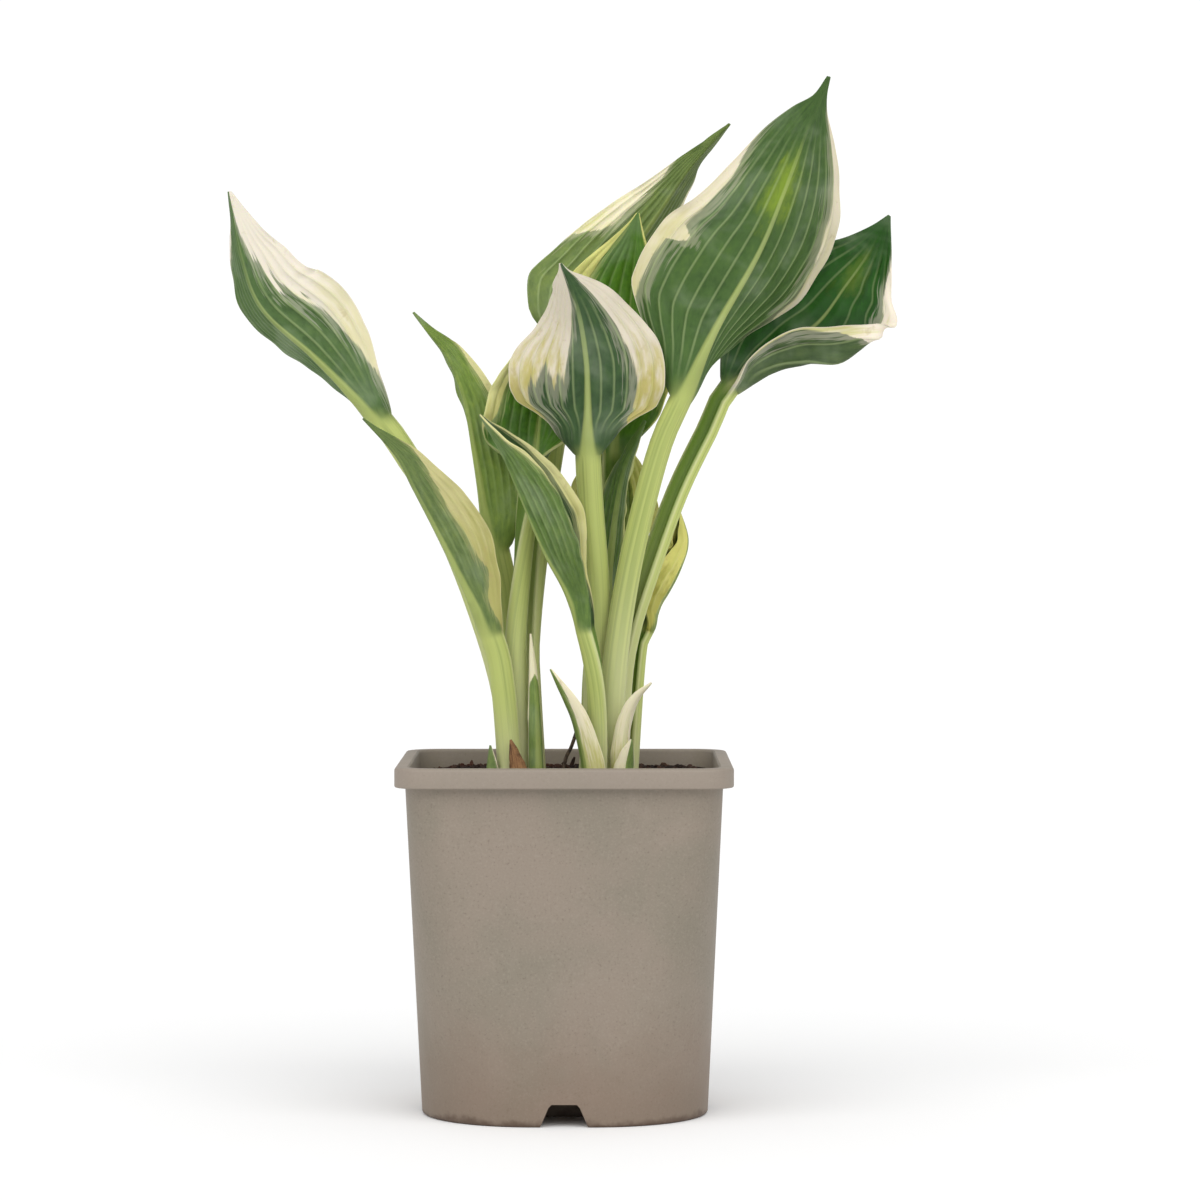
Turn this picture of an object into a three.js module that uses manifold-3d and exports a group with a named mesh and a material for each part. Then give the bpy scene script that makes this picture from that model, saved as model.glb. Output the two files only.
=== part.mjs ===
// A young variegated hosta in a square nursery pot, in millimetres, +Z up, front towards -Y.
// The origin is on the pot's axis, in the plane that the pot stands on.
// Every leaf is one grown piece: a channelled stalk that opens into a folded, ribbed blade.
import * as THREE from "three";
import { mergeVertices } from "three/addons/utils/BufferGeometryUtils.js";
import Module from "manifold-3d";

const wasm = await Module();
wasm.setup();

// ---------------------------------------------------------------- driving dimensions (mm)
const POT_HEIGHT = 95.5;
const RIM_WIDTH = 90;
const RIM_CORNER = 9.5;
const RIM_BAND = 5.4;
const BODY_TOP_WIDTH = 84.4;
const BODY_TOP_CORNER = 9;
const BASE_WIDTH = 77.5;
const BASE_CORNER = 31;
const WALL = 1.2;
const FLOOR = 1.6;
const NOTCH_HEIGHT = 6.1;
const NOTCH_TOP_WIDTH = 8.3;
const NOTCH_BASE_WIDTH = 13.7;
const NOTCH_DEPTH = 21;
const NOTCH_CHAMFER = 0.8;
const DRAIN_RADIUS = 3;
const DRAIN_INSET = 6;
const DRAIN_SPREAD = 22;
const BASE_EDGE = 0.8;
const RIM_EDGE = 0.3;
const LIP_EDGE = 0.8;
const FIT_GAP = 0.3;
const OVERCUT = 10;

const SOIL_LEVEL = 90.4;
const SOIL_LUMP = 0.7;
const CRUMB_COUNT = 36;
const CRUMB_FIELD = 72;
const CRUMB_SMALLEST = 0.9;
const CRUMB_LARGEST = 2.4;
const PIT_FLOOR = 82;
const FOOT_GAP = 0.8;
const STEM_FOOT = PIT_FLOOR + FOOT_GAP;
const STEM_GAP = 0.7;
const STEM_SIZED_AT = 5;
const TWIG_RADIUS = 0.55;

const BLADE_THICKNESS = 0.75;
const MIDRIB_DEPTH = 1.1;
const RIB_HEIGHT = 0.28;
const STALK_THICKNESS = 2.3;
const STALK_EDGE = 0.8;
const SHEATH_THICKNESS = 1;

const DEGREE = Math.PI / 180;

// ---------------------------------------------------------------- materials
const finish = (color, roughness) => new THREE.MeshStandardMaterial({ color, roughness, metalness: 0 });
const POT_PLASTIC = finish(0xa69b8f, 0.55);
const COMPOST = finish(0x3a2820, 0.95);
const LEAF = finish(0x4c7a45, 0.55);
const SHEATH = finish(0xa9b583, 0.6);
const DRY_SHEATH = finish(0x8a5a34, 0.8);
const TWIG = finish(0x3b332b, 0.9);

// ---------------------------------------------------------------- meshes and solids
function geometryOf(points, faces) {
  const geometry = new THREE.BufferGeometry();
  geometry.setAttribute("position", new THREE.Float32BufferAttribute(points.flat(), 3));
  geometry.setIndex(faces.flat());
  return geometry;
}

function solidOf(geometry) {
  const bare = geometry.clone();
  bare.deleteAttribute("normal");
  bare.deleteAttribute("uv");
  const merged = mergeVertices(bare, 1e-4);
  return new wasm.Manifold(new wasm.Mesh({
    numProp: 3,
    vertProperties: new Float32Array(merged.attributes.position.array),
    triVerts: new Uint32Array(merged.index.array),
  }));
}

function geometryOfSolid(solid) {
  const mesh = solid.getMesh();
  const geometry = new THREE.BufferGeometry();
  geometry.setAttribute("position", new THREE.BufferAttribute(new Float32Array(mesh.vertProperties), 3));
  geometry.setIndex(new THREE.BufferAttribute(new Uint32Array(mesh.triVerts), 1));
  return geometry;
}

function named(name, geometry, material) {
  const mesh = new THREE.Mesh(geometry, material);
  mesh.name = name;
  return mesh;
}

// ---------------------------------------------------------------- rounded square sections
const CORNER_STEPS = 6;

// One rounded square, anticlockwise seen from above.
function squareRing(width, corner, z) {
  const points = [];
  const offset = width / 2 - corner;
  for (let quarter = 0; quarter < 4; quarter += 1) {
    const sign = [[1, 1], [-1, 1], [-1, -1], [1, -1]][quarter];
    for (let step = 0; step <= CORNER_STEPS; step += 1) {
      const angle = (quarter + step / CORNER_STEPS) * 90 * DEGREE;
      points.push([
        sign[0] * offset + corner * Math.cos(angle),
        sign[1] * offset + corner * Math.sin(angle),
        z,
      ]);
    }
  }
  return points;
}

// Skins rings of equal length into one closed body; the first and last ring are capped flat.
function loft(rings) {
  const count = rings[0].length;
  const points = rings.flat();
  const faces = [];
  for (let row = 0; row < rings.length - 1; row += 1) {
    for (let column = 0; column < count; column += 1) {
      const next = (column + 1) % count;
      const a = row * count + column;
      const b = row * count + next;
      faces.push([a, b, b + count], [a, b + count, a + count]);
    }
  }
  const last = (rings.length - 1) * count;
  const centre = (ring) => ring
    .reduce((sum, point) => sum.map((value, axis) => value + point[axis]), [0, 0, 0])
    .map((value) => value / count);
  points.push(centre(rings[0]), centre(rings[rings.length - 1]));
  for (let column = 0; column < count; column += 1) {
    const next = (column + 1) % count;
    faces.push([points.length - 2, next, column], [points.length - 1, last + column, last + next]);
  }
  return geometryOf(points, faces);
}

// ---------------------------------------------------------------- pot
const bodyWidth = (z) => BASE_WIDTH + (BODY_TOP_WIDTH - BASE_WIDTH) * z / (POT_HEIGHT - RIM_BAND);
const bodyCorner = (z) => BASE_CORNER + (BODY_TOP_CORNER - BASE_CORNER) * z / (POT_HEIGHT - RIM_BAND);
const innerRing = (z, clearance) => squareRing(
  bodyWidth(z) - 2 * (WALL + clearance),
  bodyCorner(z) - WALL - clearance,
  z,
);

// A trapezoid bar that runs inwards from one wall along the floor.
function channelBar(grow, quarter) {
  const shape = new THREE.Shape([
    new THREE.Vector2(-NOTCH_BASE_WIDTH / 2 - grow, -1),
    new THREE.Vector2(NOTCH_BASE_WIDTH / 2 + grow, -1),
    new THREE.Vector2(NOTCH_TOP_WIDTH / 2 + grow, NOTCH_HEIGHT - NOTCH_CHAMFER + grow),
    new THREE.Vector2(NOTCH_TOP_WIDTH / 2 - NOTCH_CHAMFER + grow, NOTCH_HEIGHT + grow),
    new THREE.Vector2(-NOTCH_TOP_WIDTH / 2 + NOTCH_CHAMFER - grow, NOTCH_HEIGHT + grow),
    new THREE.Vector2(-NOTCH_TOP_WIDTH / 2 - grow, NOTCH_HEIGHT - NOTCH_CHAMFER + grow),
  ]);
  const reach = NOTCH_DEPTH + grow + OVERCUT;
  const bar = new THREE.ExtrudeGeometry(shape, { depth: reach, bevelEnabled: false });
  bar.rotateX(90 * DEGREE);
  bar.translate(0, -(BASE_WIDTH / 2 - NOTCH_DEPTH - grow), 0);
  bar.rotateZ(quarter * 90 * DEGREE);
  return solidOf(bar);
}

function drain(x, y) {
  const hole = new THREE.CylinderGeometry(DRAIN_RADIUS, DRAIN_RADIUS, 2 * NOTCH_DEPTH, 16);
  hole.rotateX(90 * DEGREE);
  hole.translate(x, y, 0);
  return solidOf(hole);
}

function makePot() {
  const shoulder = POT_HEIGHT - RIM_BAND;
  const outside = solidOf(loft([
    squareRing(BASE_WIDTH - 2 * BASE_EDGE, BASE_CORNER - BASE_EDGE, 0),
    squareRing(bodyWidth(BASE_EDGE), bodyCorner(BASE_EDGE), BASE_EDGE),
    squareRing(BODY_TOP_WIDTH, BODY_TOP_CORNER, shoulder),
    squareRing(RIM_WIDTH - 2 * RIM_EDGE, RIM_CORNER - RIM_EDGE, shoulder),
    squareRing(RIM_WIDTH, RIM_CORNER, shoulder + RIM_EDGE),
    squareRing(RIM_WIDTH, RIM_CORNER, POT_HEIGHT - LIP_EDGE),
    squareRing(RIM_WIDTH - LIP_EDGE, RIM_CORNER - LIP_EDGE / 2, POT_HEIGHT),
  ]));
  let cavity = solidOf(loft([innerRing(FLOOR, 0), innerRing(shoulder, 0), innerRing(POT_HEIGHT + 1, 0)]));
  for (let quarter = 0; quarter < 4; quarter += 1) {
    cavity = cavity.subtract(channelBar(FLOOR, quarter));
  }
  let pot = outside.subtract(cavity);
  const drainOffset = BASE_WIDTH / 2 - NOTCH_DEPTH + DRAIN_INSET;
  for (let quarter = 0; quarter < 4; quarter += 1) {
    pot = pot.subtract(channelBar(0, quarter));
    const angle = quarter * 90 * DEGREE;
    pot = pot.subtract(drain(drainOffset * Math.sin(angle), -drainOffset * Math.cos(angle)));
    const diagonal = angle + 45 * DEGREE;
    pot = pot.subtract(drain(DRAIN_SPREAD * Math.cos(diagonal), DRAIN_SPREAD * Math.sin(diagonal)));
  }
  return named("pot", geometryOfSolid(pot), POT_PLASTIC);
}

// ---------------------------------------------------------------- leaf shape
// Half width along a blade, from the end of the stalk (0) to the tip (1), as a share of the widest.
const BLADE_OUTLINE = [
  [0, 0], [0.08, 0.3], [0.2, 0.76], [0.36, 1], [0.52, 0.91], [0.68, 0.65], [0.84, 0.29], [0.94, 0.1],
  [1, 0.015],
];
// Rounder, with lobes that stand out close to the stalk.
const ROUND_OUTLINE = [
  [0, 0], [0.08, 0.27], [0.16, 0.42], [0.22, 0.64], [0.28, 0.9], [0.38, 0.98], [0.5, 1], [0.62, 0.91],
  [0.72, 0.75], [0.83, 0.52], [0.9, 0.32], [0.96, 0.12], [1, 0.015],
];
// Full to the middle, then stepping in to a long tapering tip.
const STEPPED_OUTLINE = [
  [0, 0], [0.06, 0.25], [0.13, 0.52], [0.18, 0.75], [0.24, 0.96], [0.31, 1], [0.4, 0.98], [0.46, 0.93],
  [0.53, 0.8], [0.63, 0.64], [0.78, 0.42], [0.88, 0.21], [0.94, 0.06], [1, 0.015],
];
// Widest at its middle, with a short tip.
const ARCHED_OUTLINE = [
  [0, 0], [0.1, 0.25], [0.2, 0.62], [0.3, 0.88], [0.4, 1], [0.5, 0.98], [0.6, 0.88], [0.7, 0.69],
  [0.8, 0.41], [0.9, 0.13], [0.95, 0.055], [1, 0.015],
];
// Bent over along its middle, and flared where the bend ends.
const FLARED_OUTLINE = [
  [0, 0], [0.1, 0.21], [0.2, 0.45], [0.32, 0.78], [0.45, 1], [0.54, 0.87], [0.6, 0.71], [0.66, 0.66],
  [0.72, 0.47], [0.81, 0.31], [0.9, 0.17], [1, 0.015],
];
// The same along a sheath, which is widest where it leaves the crown.
const SHEATH_OUTLINE = [[0, 1], [0.25, 1], [0.5, 0.85], [0.75, 0.55], [0.92, 0.22], [1, 0.05]];

// A smooth curve through [place, value] pairs that never overshoots them.
function curveThrough(keys, place) {
  const slope = (i) => (keys[i + 1][1] - keys[i][1]) / (keys[i + 1][0] - keys[i][0]);
  const tangent = (i) => {
    if (i === 0) return slope(0);
    if (i === keys.length - 1) return slope(i - 1);
    const product = slope(i - 1) * slope(i);
    return product <= 0 ? 0 : 2 * product / (slope(i - 1) + slope(i));
  };
  let i = 0;
  while (i < keys.length - 2 && place >= keys[i + 1][0]) i += 1;
  const span = keys[i + 1][0] - keys[i][0];
  const t = Math.min(Math.max((place - keys[i][0]) / span, 0), 1);
  return keys[i][1] * (1 + 2 * t) * (1 - t) ** 2 + tangent(i) * span * t * (1 - t) ** 2
    + keys[i + 1][1] * t * t * (3 - 2 * t) + tangent(i + 1) * span * t * t * (t - 1);
}

// Evenly spread stations along the blade, joined smoothly.
const stations = (values, place) => curveThrough(values.map((v, i) => [i / (values.length - 1), v]), place);
const ease = (from, to, value) => THREE.MathUtils.smoothstep(value, from, to);
const mix = THREE.MathUtils.lerp;

// A leaf record, with lengths in mm and angles in degrees. Lists of two are for the half on the
// right and the half on the left, seen from the upper side with the tip up.
//   spine    points from the foot in the soil, through the point numbered bladeFrom, to the tip
//   turn     bearing of the upper side about the stalk at foot, blade start, 1/3, 2/3 and tip:
//            0 looks to the back, 90 to the left, 180 to the front, -90 to the right
//   width    greatest half width, measured along the surface
//   outline  [where, how full]: powers that move the widest place towards the tip, and thin it
//   fold     rise of each half at the midrib, at four stations from blade start to tip
//   curl     how far each half turns on from the midrib to its margin, at the same stations
//   crease   where a half turns over all at once: share of its width, at even stations; null where
//            it turns evenly
//   wave     [height, count, phase] of the waved margin
//   blade    outline of each half
//   stalk    half width of the stalk's section at the foot and at the blade
//   channel  rise of the stalk's section at its middle, and at its edges
const LEAF_DEFAULTS = {
  outline: [[1, 1], [1, 1]],
  fold: [[25, 22, 20, 20], [25, 22, 20, 20]],
  curl: [[10, 10, 10, 5], [10, 10, 10, 5]],
  crease: [null, null],
  wave: [[0.6, 2, 0], [0.6, 2.5, 120]],
  stalk: [3.6, 3.8],
  channel: [12, 80],
  blade: [BLADE_OUTLINE, BLADE_OUTLINE],
  rows: [6, 12],
  columns: 4,
};

const SECTION_STEPS = 24;
const CREASE_SPREAD = 0.12;

class Leaf {
  constructor(record) {
    Object.assign(this, LEAF_DEFAULTS, record);
    const points = this.spine.map((p) => new THREE.Vector3(...p));
    this.curve = new THREE.CatmullRomCurve3(points, false, "catmullrom", 0.5);
    const lengths = this.curve.getLengths(200);
    this.start = lengths[Math.round(200 * this.bladeFrom / (points.length - 1))] / lengths[200];
    const third = (1 - this.start) / 3;
    const places = [0, this.start, this.start + third, this.start + 2 * third, 1];
    this.turns = this.turn.map((angle, i) => [places[i], angle]).filter((key, i) => i > 0 || this.start > 0);
  }

  // Direction of growth, upper side and right-hand side at one place along the spine.
  frame(along) {
    const step = 0.004;
    const before = this.curve.getPointAt(Math.max(along - step, 0));
    const growth = this.curve.getPointAt(Math.min(along + step, 1)).sub(before).normalize();
    const back = new THREE.Vector3(0, 1, 0).addScaledVector(growth, -growth.y).normalize();
    const left = growth.clone().cross(back);
    const angle = curveThrough(this.turns, along) * DEGREE;
    const upper = back.multiplyScalar(Math.cos(angle)).addScaledVector(left, Math.sin(angle));
    return { upper, right: growth.clone().cross(upper) };
  }

  // A point of the upper side: along runs 0..1 from foot to tip, across -1..1 from left to right.
  point(along, across) {
    const side = across >= 0 ? 0 : 1;
    const out = Math.abs(across);
    const grown = THREE.MathUtils.clamp((along - this.start) / (1 - this.start), 0, 1);
    const stalkPlace = this.start > 0 ? Math.min(along / this.start, 1) : 1;
    const [shift, fullness] = this.outline[side];
    const share = curveThrough(this.blade[side], grown ** shift) ** fullness;
    const stalkWidth = mix(this.stalk[0], this.stalk[1], stalkPlace) * (1 - ease(0, 0.3, grown));
    const width = this.width[side] * share + (this.start > 0 ? stalkWidth : 0);
    const opened = this.start > 0 ? ease(-0.02, 0.14, grown) * (along > this.start ? 1 : 0) : 1;
    const fold = stations(this.fold[side], grown);
    const first = mix(this.channel[0], fold, opened) * DEGREE;
    const last = mix(this.channel[1], fold + stations(this.curl[side], grown), opened) * DEGREE;
    const middle = this.crease[side] && stations(this.crease[side], grown);
    const turned = (place) => (middle ? ease(middle - CREASE_SPREAD, middle + CREASE_SPREAD, place) : place);
    const angleAt = (place) => first + (last - first) * turned(place);
    let aside = 0;
    let rise = 0;
    for (let i = 0; i < SECTION_STEPS; i += 1) {
      const angle = angleAt(out * (i + 0.5) / SECTION_STEPS);
      aside += width * out / SECTION_STEPS * Math.cos(angle);
      rise += width * out / SECTION_STEPS * Math.sin(angle);
    }
    const [height, count, phase] = this.wave[side];
    const ends = ease(0, 0.15, grown) * (1 - ease(0.85, 1, grown));
    const swell = height * Math.sin(2 * Math.PI * count * grown + phase * DEGREE) * out * out * ends;
    aside -= swell * Math.sin(angleAt(out));
    rise += swell * Math.cos(angleAt(out));
    const { upper, right } = this.frame(along);
    return this.curve.getPointAt(along)
      .addScaledVector(right, side === 0 ? aside : -aside)
      .addScaledVector(upper, rise);
  }

  normal(along, across) {
    const a = 0.006;
    const c = 0.03;
    const lengthwise = this.point(Math.min(along + a, 1), across)
      .sub(this.point(Math.max(along - a, 0), across));
    const crosswise = this.point(along, Math.min(across + c, 1))
      .sub(this.point(along, Math.max(across - c, -1)));
    return crosswise.cross(lengthwise).normalize();
  }

  thickness(along, across) {
    if (this.start === 0) return SHEATH_THICKNESS;
    const grown = THREE.MathUtils.clamp((along - this.start) / (1 - this.start), 0, 1);
    const stalk = mix(STALK_THICKNESS, STALK_EDGE, across * across);
    const midrib = across === 0 ? MIDRIB_DEPTH * (1 - grown) : 0;
    return mix(stalk, BLADE_THICKNESS + midrib, ease(0, 0.25, grown));
  }

  // Both faces carry one grid, split alike, so a waved blade never meets itself.
  geometry() {
    const [stalkRows, bladeRows] = this.rows;
    const places = [];
    for (let i = 0; i < stalkRows && this.start > 0; i += 1) places.push(this.start * i / stalkRows);
    for (let i = 0; i <= bladeRows; i += 1) places.push(this.start + (1 - this.start) * i / bladeRows);
    const half = this.columns;
    const wide = 2 * half + 1;
    const over = [];
    const under = [];
    places.forEach((along) => {
      const grown = Math.max((along - this.start) / (1 - this.start), 0);
      for (let column = -half; column <= half; column += 1) {
        const across = column / half;
        const normal = this.normal(along, across);
        const ribbed = this.start > 0 && Math.abs(column) < half && column !== 0;
        const share = ribbed ? ease(0.05, 0.3, grown) * (1 - ease(0.75, 1, grown)) : 0;
        const rib = RIB_HEIGHT * share * (column % 2 === 0 ? 1 : -1);
        const top = this.point(along, across).addScaledVector(normal, rib);
        over.push(top.toArray());
        under.push(top.addScaledVector(normal, -this.thickness(along, across)).toArray());
      }
    });
    const faces = [];
    const shift = over.length;
    const quad = (a, b, c, d) => faces.push([a, b, c], [a, c, d]);
    for (let row = 0; row < places.length - 1; row += 1) {
      for (let column = 0; column < wide - 1; column += 1) {
        const a = row * wide + column;
        quad(a, a + 1, a + 1 + wide, a + wide);
        faces.push([a + shift, a + 1 + wide + shift, a + 1 + shift]);
        faces.push([a + shift, a + wide + shift, a + 1 + wide + shift]);
      }
      const left = row * wide;
      const right = left + wide - 1;
      quad(left, left + wide, left + wide + shift, left + shift);
      quad(right + wide, right, right + shift, right + wide + shift);
    }
    const tip = (places.length - 1) * wide;
    for (let column = 0; column < wide - 1; column += 1) {
      quad(column + 1, column, column + shift, column + 1 + shift);
      quad(tip + column, tip + column + 1, tip + column + 1 + shift, tip + column + shift);
    }
    return geometryOf([...over, ...under], faces);
  }
}

// ---------------------------------------------------------------- leaves
const LEFT_SHOOT = [
  {
    name: "leaf_outer_left",
    spine: [[-15.6, 2.2, STEM_FOOT], [-17.2, 1.6, 111.5], [-25.2, 0.8, 139.2], [-36, 1.5, 165],
      [-43.4, 2, 177], [-50.4, 2, 186.8], [-67.6, 1, 204.4], [-82, 0, 217.7], [-87.6, -1, 231.4],
      [-91, -3, 249.6]],
    bladeFrom: 5,
    turn: [-40, -38, -38, -38, -38],
    width: [11.5, 19.4],
    outline: [[1.55, 1], [1.22, 0.85]],
    fold: [[40, 22, 22, 30], [34, 32, 30, 25]],
    curl: [[5, 5, 10, 5], [5, 8, 8, 5]],
  },
  {
    name: "leaf_lower_left",
    spine: [[-14.8, -9.2, STEM_FOOT], [-17.4, -9.4, 115.2], [-20.6, -11, 129.5], [-29.2, -15, 147.7],
      [-34.6, -16, 158.5], [-40.4, -18, 169.5], [-45, -19, 178.1], [-53.8, -21, 188]],
    bladeFrom: 2,
    turn: [-30, -46, -46, -46, -46],
    width: [12, 12.6],
    outline: [[0.8, 1], [1.05, 1.1]],
    fold: [[48, 48, 48, 40], [46, 46, 46, 40]],
    curl: [[6, 6, 6, 5], [6, 6, 6, 5]],
  },
  {
    name: "leaf_inner_left",
    spine: [[-11.6, 9.4, STEM_FOOT], [-14.2, 9.8, 115], [-16, 9.6, 138], [-18.8, 8, 152],
      [-21.8, 7, 162.2], [-24.2, 6.5, 176.5], [-27.2, 6, 192.6], [-31.8, 5, 204.8], [-37, 3, 211.6],
      [-41.2, 1, 217.1]],
    bladeFrom: 3,
    turn: [-90, -50, -40, -40, -40],
    width: [11, 12],
    outline: [[1, 1], [0.85, 1]],
    fold: [[45, 45, 42, 35], [42, 42, 40, 30]],
    curl: [[5, 5, 5, 5], [5, 5, 5, 5]],
    stalk: [3.2, 3.4],
  },
  {
    name: "leaf_inner_right",
    spine: [[-12, -3.4, STEM_FOOT], [-12.6, -4, 112], [-12.7, -4, 130.6], [-10.9, -2, 152.3],
      [-9.3, 0, 165.9], [-8.2, 1, 175.4], [-6.6, 3, 193.2], [-4.7, 3, 206.8], [-1.9, 1, 219.5]],
    bladeFrom: 5,
    turn: [0, 140, 180, 180, 180],
    width: [16, 16.2],
    outline: [[1, 1], [0.8, 1]],
  },
  {
    name: "leaf_back_tall",
    spine: [[-7.7, 3.8, STEM_FOOT], [-9.3, 4.2, 116.7], [-9.4, 4.8, 127.6], [-7.2, 6, 149.4],
      [-3.5, 8, 174], [-0.7, 10, 190.5], [3.2, 13, 207.1], [9.5, 15, 219.5], [17.8, 16, 233.3],
      [26.6, 15, 246.3], [34.8, 13, 258], [44.9, 9, 268.9]],
    bladeFrom: 6,
    turn: [180, 60, 20, 20, 30],
    width: [19.8, 15.6],
    outline: [[0.57, 1.08], [1, 1]],
    fold: [[25, 25, 20, 20], [40, 40, 45, 40]],
    stalk: [2.9, 3.4],
  },
];

const RIGHT_SHOOT = [
  {
    name: "leaf_front_right",
    spine: [[13, -5.6, STEM_FOOT], [13.3, -5.9, 115.5], [17.6, -7, 146.7], [25.2, -8.5, 177.8],
      [31.4, -10.5, 192.9], [40.2, -12, 211.5], [52, -13.5, 232.4], [58.9, -15.5, 249], [65, -19, 265.4],
      [70.3, -25, 278.8]],
    bladeFrom: 4,
    turn: [10, 20, 25, 25, 25],
    width: [27.5, 28],
    blade: [STEPPED_OUTLINE, ARCHED_OUTLINE],
    outline: [[1, 1], [1, 1]],
    fold: [[28, 25, 22, 22], [52, 30, 12, 10]],
    curl: [[8, 10, 12, 8], [12, 12, 12, 8]],
    stalk: [3.9, 3.1],
    rows: [8, 15],
    columns: 6,
  },
  {
    name: "leaf_front_centre",
    spine: [[8, 0.4, STEM_FOOT], [8.4, 0.2, 115], [8.9, -3.6, 138.8], [7.1, -8.5, 163.2],
      [6.3, -13, 178.1], [6.2, -18, 194.7], [5.7, -21, 204.9], [3.6, -25, 216.8], [-0.9, -31, 228.9]],
    bladeFrom: 4,
    turn: [0, 0, 0, 10, 20],
    width: [23.5, 22],
    blade: [ROUND_OUTLINE, ROUND_OUTLINE],
    outline: [[0.9, 1.15], [0.85, 1.35]],
    fold: [[25, 16, 60, 80], [18, 12, 12, 12]],
    curl: [[10, 12, 20, 20], [12, 12, 14, 10]],
    columns: 5,
  },
  {
    name: "leaf_front_left",
    spine: [[7.4, -10.3, STEM_FOOT], [8.2, -11.3, 113.4], [5.2, -12.2, 130.9], [2, -13, 139.8],
      [-3.9, -15, 150.1], [-8.2, -16, 159.3], [-13.1, -17, 170.8], [-16.8, -18, 178.9], [-22.6, -20, 189]],
    bladeFrom: 2,
    turn: [-45, -100, -109, -109, -109],
    width: [14.5, 14.5],
    outline: [[1.35, 1], [1.3, 1]],
    fold: [[50, 50, 50, 50], [58, 58, 60, 55]],
    curl: [[6, 8, 8, 5], [6, 8, 8, 5]],
  },
  {
    name: "leaf_right",
    spine: [[14.4, 6.2, STEM_FOOT], [15.4, 5.8, 114.1], [17.9, 3.6, 130.5], [24, 0.8, 149.6],
      [31, 1.2, 168.6], [39, 4, 185], [45, 6, 196.5], [61.6, 8, 208.8], [69.8, 8, 215.1],
      [76.3, 8, 223.9], [82.3, 7, 232.4], [88.2, 3, 243.4]],
    bladeFrom: 6,
    turn: [150, 150, 150, 150, 150],
    width: [26.5, 24],
    blade: [FLARED_OUTLINE, BLADE_OUTLINE],
    fold: [[-10, -10, -15, -5], [10, 10, 10, 15]],
    stalk: [3.2, 2.9],
    curl: [[150, 180, 180, 180], [10, 10, 10, 5]],
    crease: [[0.36, 0.36, 0.38, 0.43, 0.49, 0.62, 0.9, 1.25, 1.3, 1.3, 1.3], null],
    wave: [[0.3, 2, 0], [0.6, 2.5, 120]],
    rows: [6, 16],
    columns: 9,
  },
  {
    name: "leaf_small_right",
    spine: [[17.2, 11.8, STEM_FOOT], [19.8, 12.6, 122], [21.9, 13.8, 129.8], [25.8, 15.8, 138.5],
      [30.4, 16.2, 147.3], [32.8, 15.2, 154.9], [30.6, 13.7, 164.5]],
    bladeFrom: 2,
    turn: [135, 140, 150, 150, 150],
    width: [14, 12.5],
    fold: [[30, 30, 30, 30], [30, 30, 30, 30]],
    curl: [[90, 110, 110, 60], [90, 110, 110, 60]],
    stalk: [2, 2],
    rows: [5, 11],
  },
  {
    name: "leaf_small_centre",
    spine: [[6.6, 6, STEM_FOOT], [7.3, 5.6, 114.2], [8.8, 4.2, 127.7], [10.2, 3.1, 134.5],
      [12.2, 1.5, 149.5], [13.9, 0, 163.2], [16, -1, 174], [19.3, -2, 182.2], [21.7, -3, 187.6]],
    bladeFrom: 3,
    turn: [-20, 0, 10, 10, 10],
    width: [8, 8],
    fold: [[50, 50, 50, 50], [50, 50, 50, 50]],
    curl: [[20, 20, 20, 10], [20, 20, 20, 10]],
    stalk: [2.6, 2.8],
    rows: [6, 11],
    columns: 3,
  },
  {
    name: "leaf_back_low",
    spine: [[5.8, 14.8, STEM_FOOT], [8.8, 17.2, 124.7], [11.1, 18, 149.3], [12.2, 18, 165.8],
      [13.3, 18, 176.8], [13.1, 17, 186.4]],
    bladeFrom: 2,
    turn: [180, 180, 180, 180, 180],
    width: [14, 13],
    fold: [[10, 10, 10, 10], [20, 20, 20, 20]],
    curl: [[5, 5, 5, 5], [10, 10, 10, 10]],
    stalk: [2.6, 2.6],
    rows: [5, 9],
    columns: 4,
  },
  {
    name: "leaf_back_upper",
    spine: [[10.8, 11.4, STEM_FOOT], [12.2, 12.4, 115], [13.2, 12, 154.9], [13.3, 11, 178.2],
      [15, 10.5, 193.2], [16.9, 11, 209.7], [18.5, 10.5, 227.5], [19.9, 8.5, 244.4]],
    bladeFrom: 3,
    turn: [180, 180, 180, 180, 180],
    width: [15, 21.5],
    outline: [[1, 1], [1.6, 1]],
    fold: [[20, 20, 20, 20], [10, 10, 8, 10]],
    curl: [[8, 8, 8, 8], [5, 5, 5, 5]],
    stalk: [2.8, 3.2],
  },
];

// ---------------------------------------------------------------- sheaths at the foot of the shoots
const SHEATH_DEFAULTS = {
  bladeFrom: 0,
  blade: [SHEATH_OUTLINE, SHEATH_OUTLINE],
  fold: [[10, 10, 10, 10], [10, 10, 10, 10]],
  curl: [[60, 60, 50, 30], [60, 60, 50, 30]],
  rows: [0, 6],
  columns: 2,
};
const evenTurn = (angle) => [angle, angle, angle, angle, angle];

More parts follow.
